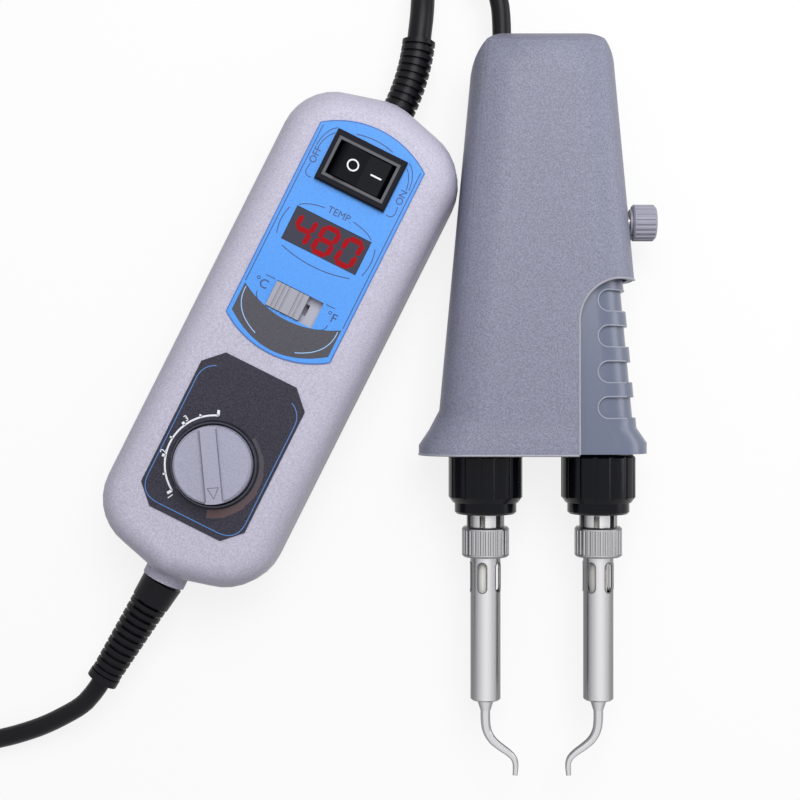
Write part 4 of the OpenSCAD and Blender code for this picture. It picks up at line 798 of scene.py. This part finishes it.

# Lighter rims of the finger grooves, which lie on the lever's surface: a painted highlight on the
# grooves' edges
bpy.context.view_layer.update()
lever = nodes["lever_grip"]
lever_tree = BVHTree.FromPolygons(
    [lever.matrix_world @ v.co for v in lever.data.vertices],
    [tuple(f.vertices) for f in lever.data.polygons],
)
DOWN = Vector((0, 0, -1))
ABOVE_LEVER = 60.0
GROOVES, GROOVE_X, GROOVE_FIRST, GROOVE_PITCH, GROOVE_R = 4, 17.0, 13.2, 9.8, 3.0
GROOVE_RUN, GROOVE_STEP, GROOVE_STEPS = 5.2, 0.65, 8
GROOVE_RIM_D, GROOVE_SINK = 0.5, 0.12
for i in range(GROOVES):
    middle = GROOVE_FIRST + i * GROOVE_PITCH
    run = [
        (GROOVE_X + GROOVE_RUN - GROOVE_STEP * k, middle + GROOVE_R) for k in range(GROOVE_STEPS)
    ]
    run += round_points((GROOVE_X, middle), GROOVE_R, 90, 270, 20)
    run += [(GROOVE_X + GROOVE_STEP * (k + 1), middle - GROOVE_R) for k in range(GROOVE_STEPS)]
    points = []
    for x, y in run:
        start = Vector((HANDLE[0] + x, HANDLE[1] + y, ABOVE_LEVER)) * MM
        hit = lever_tree.ray_cast(start, DOWN)[0]
        if hit:
            points.append(hit / MM + DOWN * GROOVE_SINK)
    piece = cord_piece("groove_rim_%d" % (i + 1), points, GROOVE_RIM_D)
    piece.data.materials.append(groove_highlight_mat)
    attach(piece, "lever")

# Dark edges of the vents in the sleeves: painted shade of the slots' walls
ARM_HALF, ARM_Z, SLEEVE_R = 15.9, 15.5, 4.25
VENTS, VENT_A, VENT_L, VENT_R, VENT_RIM_D = 5, 30.2, 8.5, 1.3, 0.3
vent_loop = round_points((0, VENT_A + VENT_R), VENT_R, 180, 360, 12)
vent_loop += round_points((0, VENT_A + VENT_L - VENT_R), VENT_R, 0, 180, 12)
vent_loop.append(vent_loop[0])
for side, first, body in ((-1, 16, "base"), (1, 36, "lever")):
    for k in range(VENTS):
        a = math.radians(first + 360 / VENTS * k)
        points = []
        for w, along in vent_loop:
            out_by = math.sqrt(SLEEVE_R**2 - w * w)
            x = w * math.cos(a) - out_by * math.sin(a)
            z = w * math.sin(a) + out_by * math.cos(a)
            points.append(Vector((HANDLE[0] + side * (ARM_HALF - x), HANDLE[1] - along, ARM_Z + z)))
        piece = cord_piece("vent_rim_%s_%d" % (body, k + 1), points, VENT_RIM_D)
        piece.data.materials.append(vent_shade_mat)
        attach(piece, body)

# Floor and light, in metres
WHITE = (1, 1, 1, 1)
FLOOR_REACH, FLOOR_Z = 3.0, -0.0002
FADE_FROM, FLOOR_GLOW = (0.15, 0.5), (0.83, 0.965)
FLOOR_TONE = (0.18, 0.8)
SKY_TONE, SKY_SEEN = (0.05, 0.74), 0.97


def seen_ray(tree):
    """A value of 1 for camera, glossy and transmission rays, and 0 for the rest."""
    path = tree.nodes.new("ShaderNodeLightPath")
    either = tree.nodes.new("ShaderNodeMath")
    either.operation = "MAXIMUM"
    any_of = tree.nodes.new("ShaderNodeMath")
    any_of.operation = "MAXIMUM"
    tree.links.new(path.outputs["Is Camera Ray"], either.inputs[0])
    tree.links.new(path.outputs["Is Glossy Ray"], either.inputs[1])
    tree.links.new(either.outputs[0], any_of.inputs[0])
    tree.links.new(path.outputs["Is Transmission Ray"], any_of.inputs[1])
    return any_of.outputs[0]


def ranged(tree, value, low_high, start=(0.0, 1.0)):
    """A value moved from its start range into another range."""
    node = tree.nodes.new("ShaderNodeMapRange")
    node.inputs["From Min"].default_value, node.inputs["From Max"].default_value = start
    node.inputs["To Min"].default_value, node.inputs["To Max"].default_value = low_high
    tree.links.new(value, node.inputs["Value"])
    return node.outputs["Result"]


floor_mesh = bpy.data.meshes.new("floor")
floor_mesh.from_pydata(
    [(x * FLOOR_REACH, y * FLOOR_REACH, 0) for x, y in CORNERS], [], [(0, 1, 2, 3)]
)
floor = bpy.data.objects.new("floor", floor_mesh)
floor.location.z = FLOOR_Z
scene.collection.objects.link(floor)
floor_mat = bpy.data.materials.new("floor")
floor_mat.use_nodes = True
tree = floor_mat.node_tree
tree.nodes.clear()
out = tree.nodes.new("ShaderNodeOutputMaterial")
mix = tree.nodes.new("ShaderNodeMixShader")
diffuse = tree.nodes.new("ShaderNodeBsdfDiffuse")
glow = tree.nodes.new("ShaderNodeEmission")
glow.inputs["Color"].default_value = WHITE
spot = tree.nodes.new("ShaderNodeTexCoord")
far = tree.nodes.new("ShaderNodeVectorMath")
far.operation = "LENGTH"
share = tree.nodes.new("ShaderNodeMath")
share.operation = "MULTIPLY"
seen = seen_ray(tree)
tree.links.new(spot.outputs["Object"], far.inputs[0])
tree.links.new(seen, share.inputs[0])
tree.links.new(ranged(tree, far.outputs["Value"], FLOOR_GLOW, FADE_FROM), share.inputs[1])
tree.links.new(ranged(tree, seen, FLOOR_TONE), diffuse.inputs["Color"])
tree.links.new(share.outputs[0], mix.inputs["Fac"])
tree.links.new(diffuse.outputs[0], mix.inputs[1])
tree.links.new(glow.outputs[0], mix.inputs[2])
tree.links.new(mix.outputs[0], out.inputs["Surface"])
floor_mesh.materials.append(floor_mat)

world = bpy.data.worlds.new("world")
scene.world = world
world.use_nodes = True
tree = world.node_tree
sky = tree.nodes["Background"]
sky.inputs["Color"].default_value = WHITE
way = tree.nodes.new("ShaderNodeTexCoord")
parts = tree.nodes.new("ShaderNodeSeparateXYZ")
strength = tree.nodes.new("ShaderNodeMix")
strength.inputs[3].default_value = SKY_SEEN
tree.links.new(way.outputs["Generated"], parts.inputs["Vector"])
tree.links.new(seen_ray(tree), strength.inputs[0])
tree.links.new(ranged(tree, parts.outputs["Z"], SKY_TONE), strength.inputs[2])
tree.links.new(strength.outputs[0], sky.inputs["Strength"])


def area_light(name, at, aim, size, watts):
    data = bpy.data.lights.new(name, "AREA")
    data.shape = "RECTANGLE"
    data.size, data.size_y = size
    data.energy = watts
    obj = bpy.data.objects.new(name, data)
    obj.location = at
    obj.rotation_euler = (Vector(aim) - Vector(at)).to_track_quat("-Z", "Y").to_euler()
    obj.visible_camera = False
    scene.collection.objects.link(obj)


area_light("key", at=(0.1, 0.29, 0.58), aim=(0, 0, 0.02), size=(0.4, 0.4), watts=3.1)
area_light("side", at=(0.5, 0.14, 0.1), aim=(0.05, 0.03, 0.02), size=(0.4, 0.19), watts=0.75)
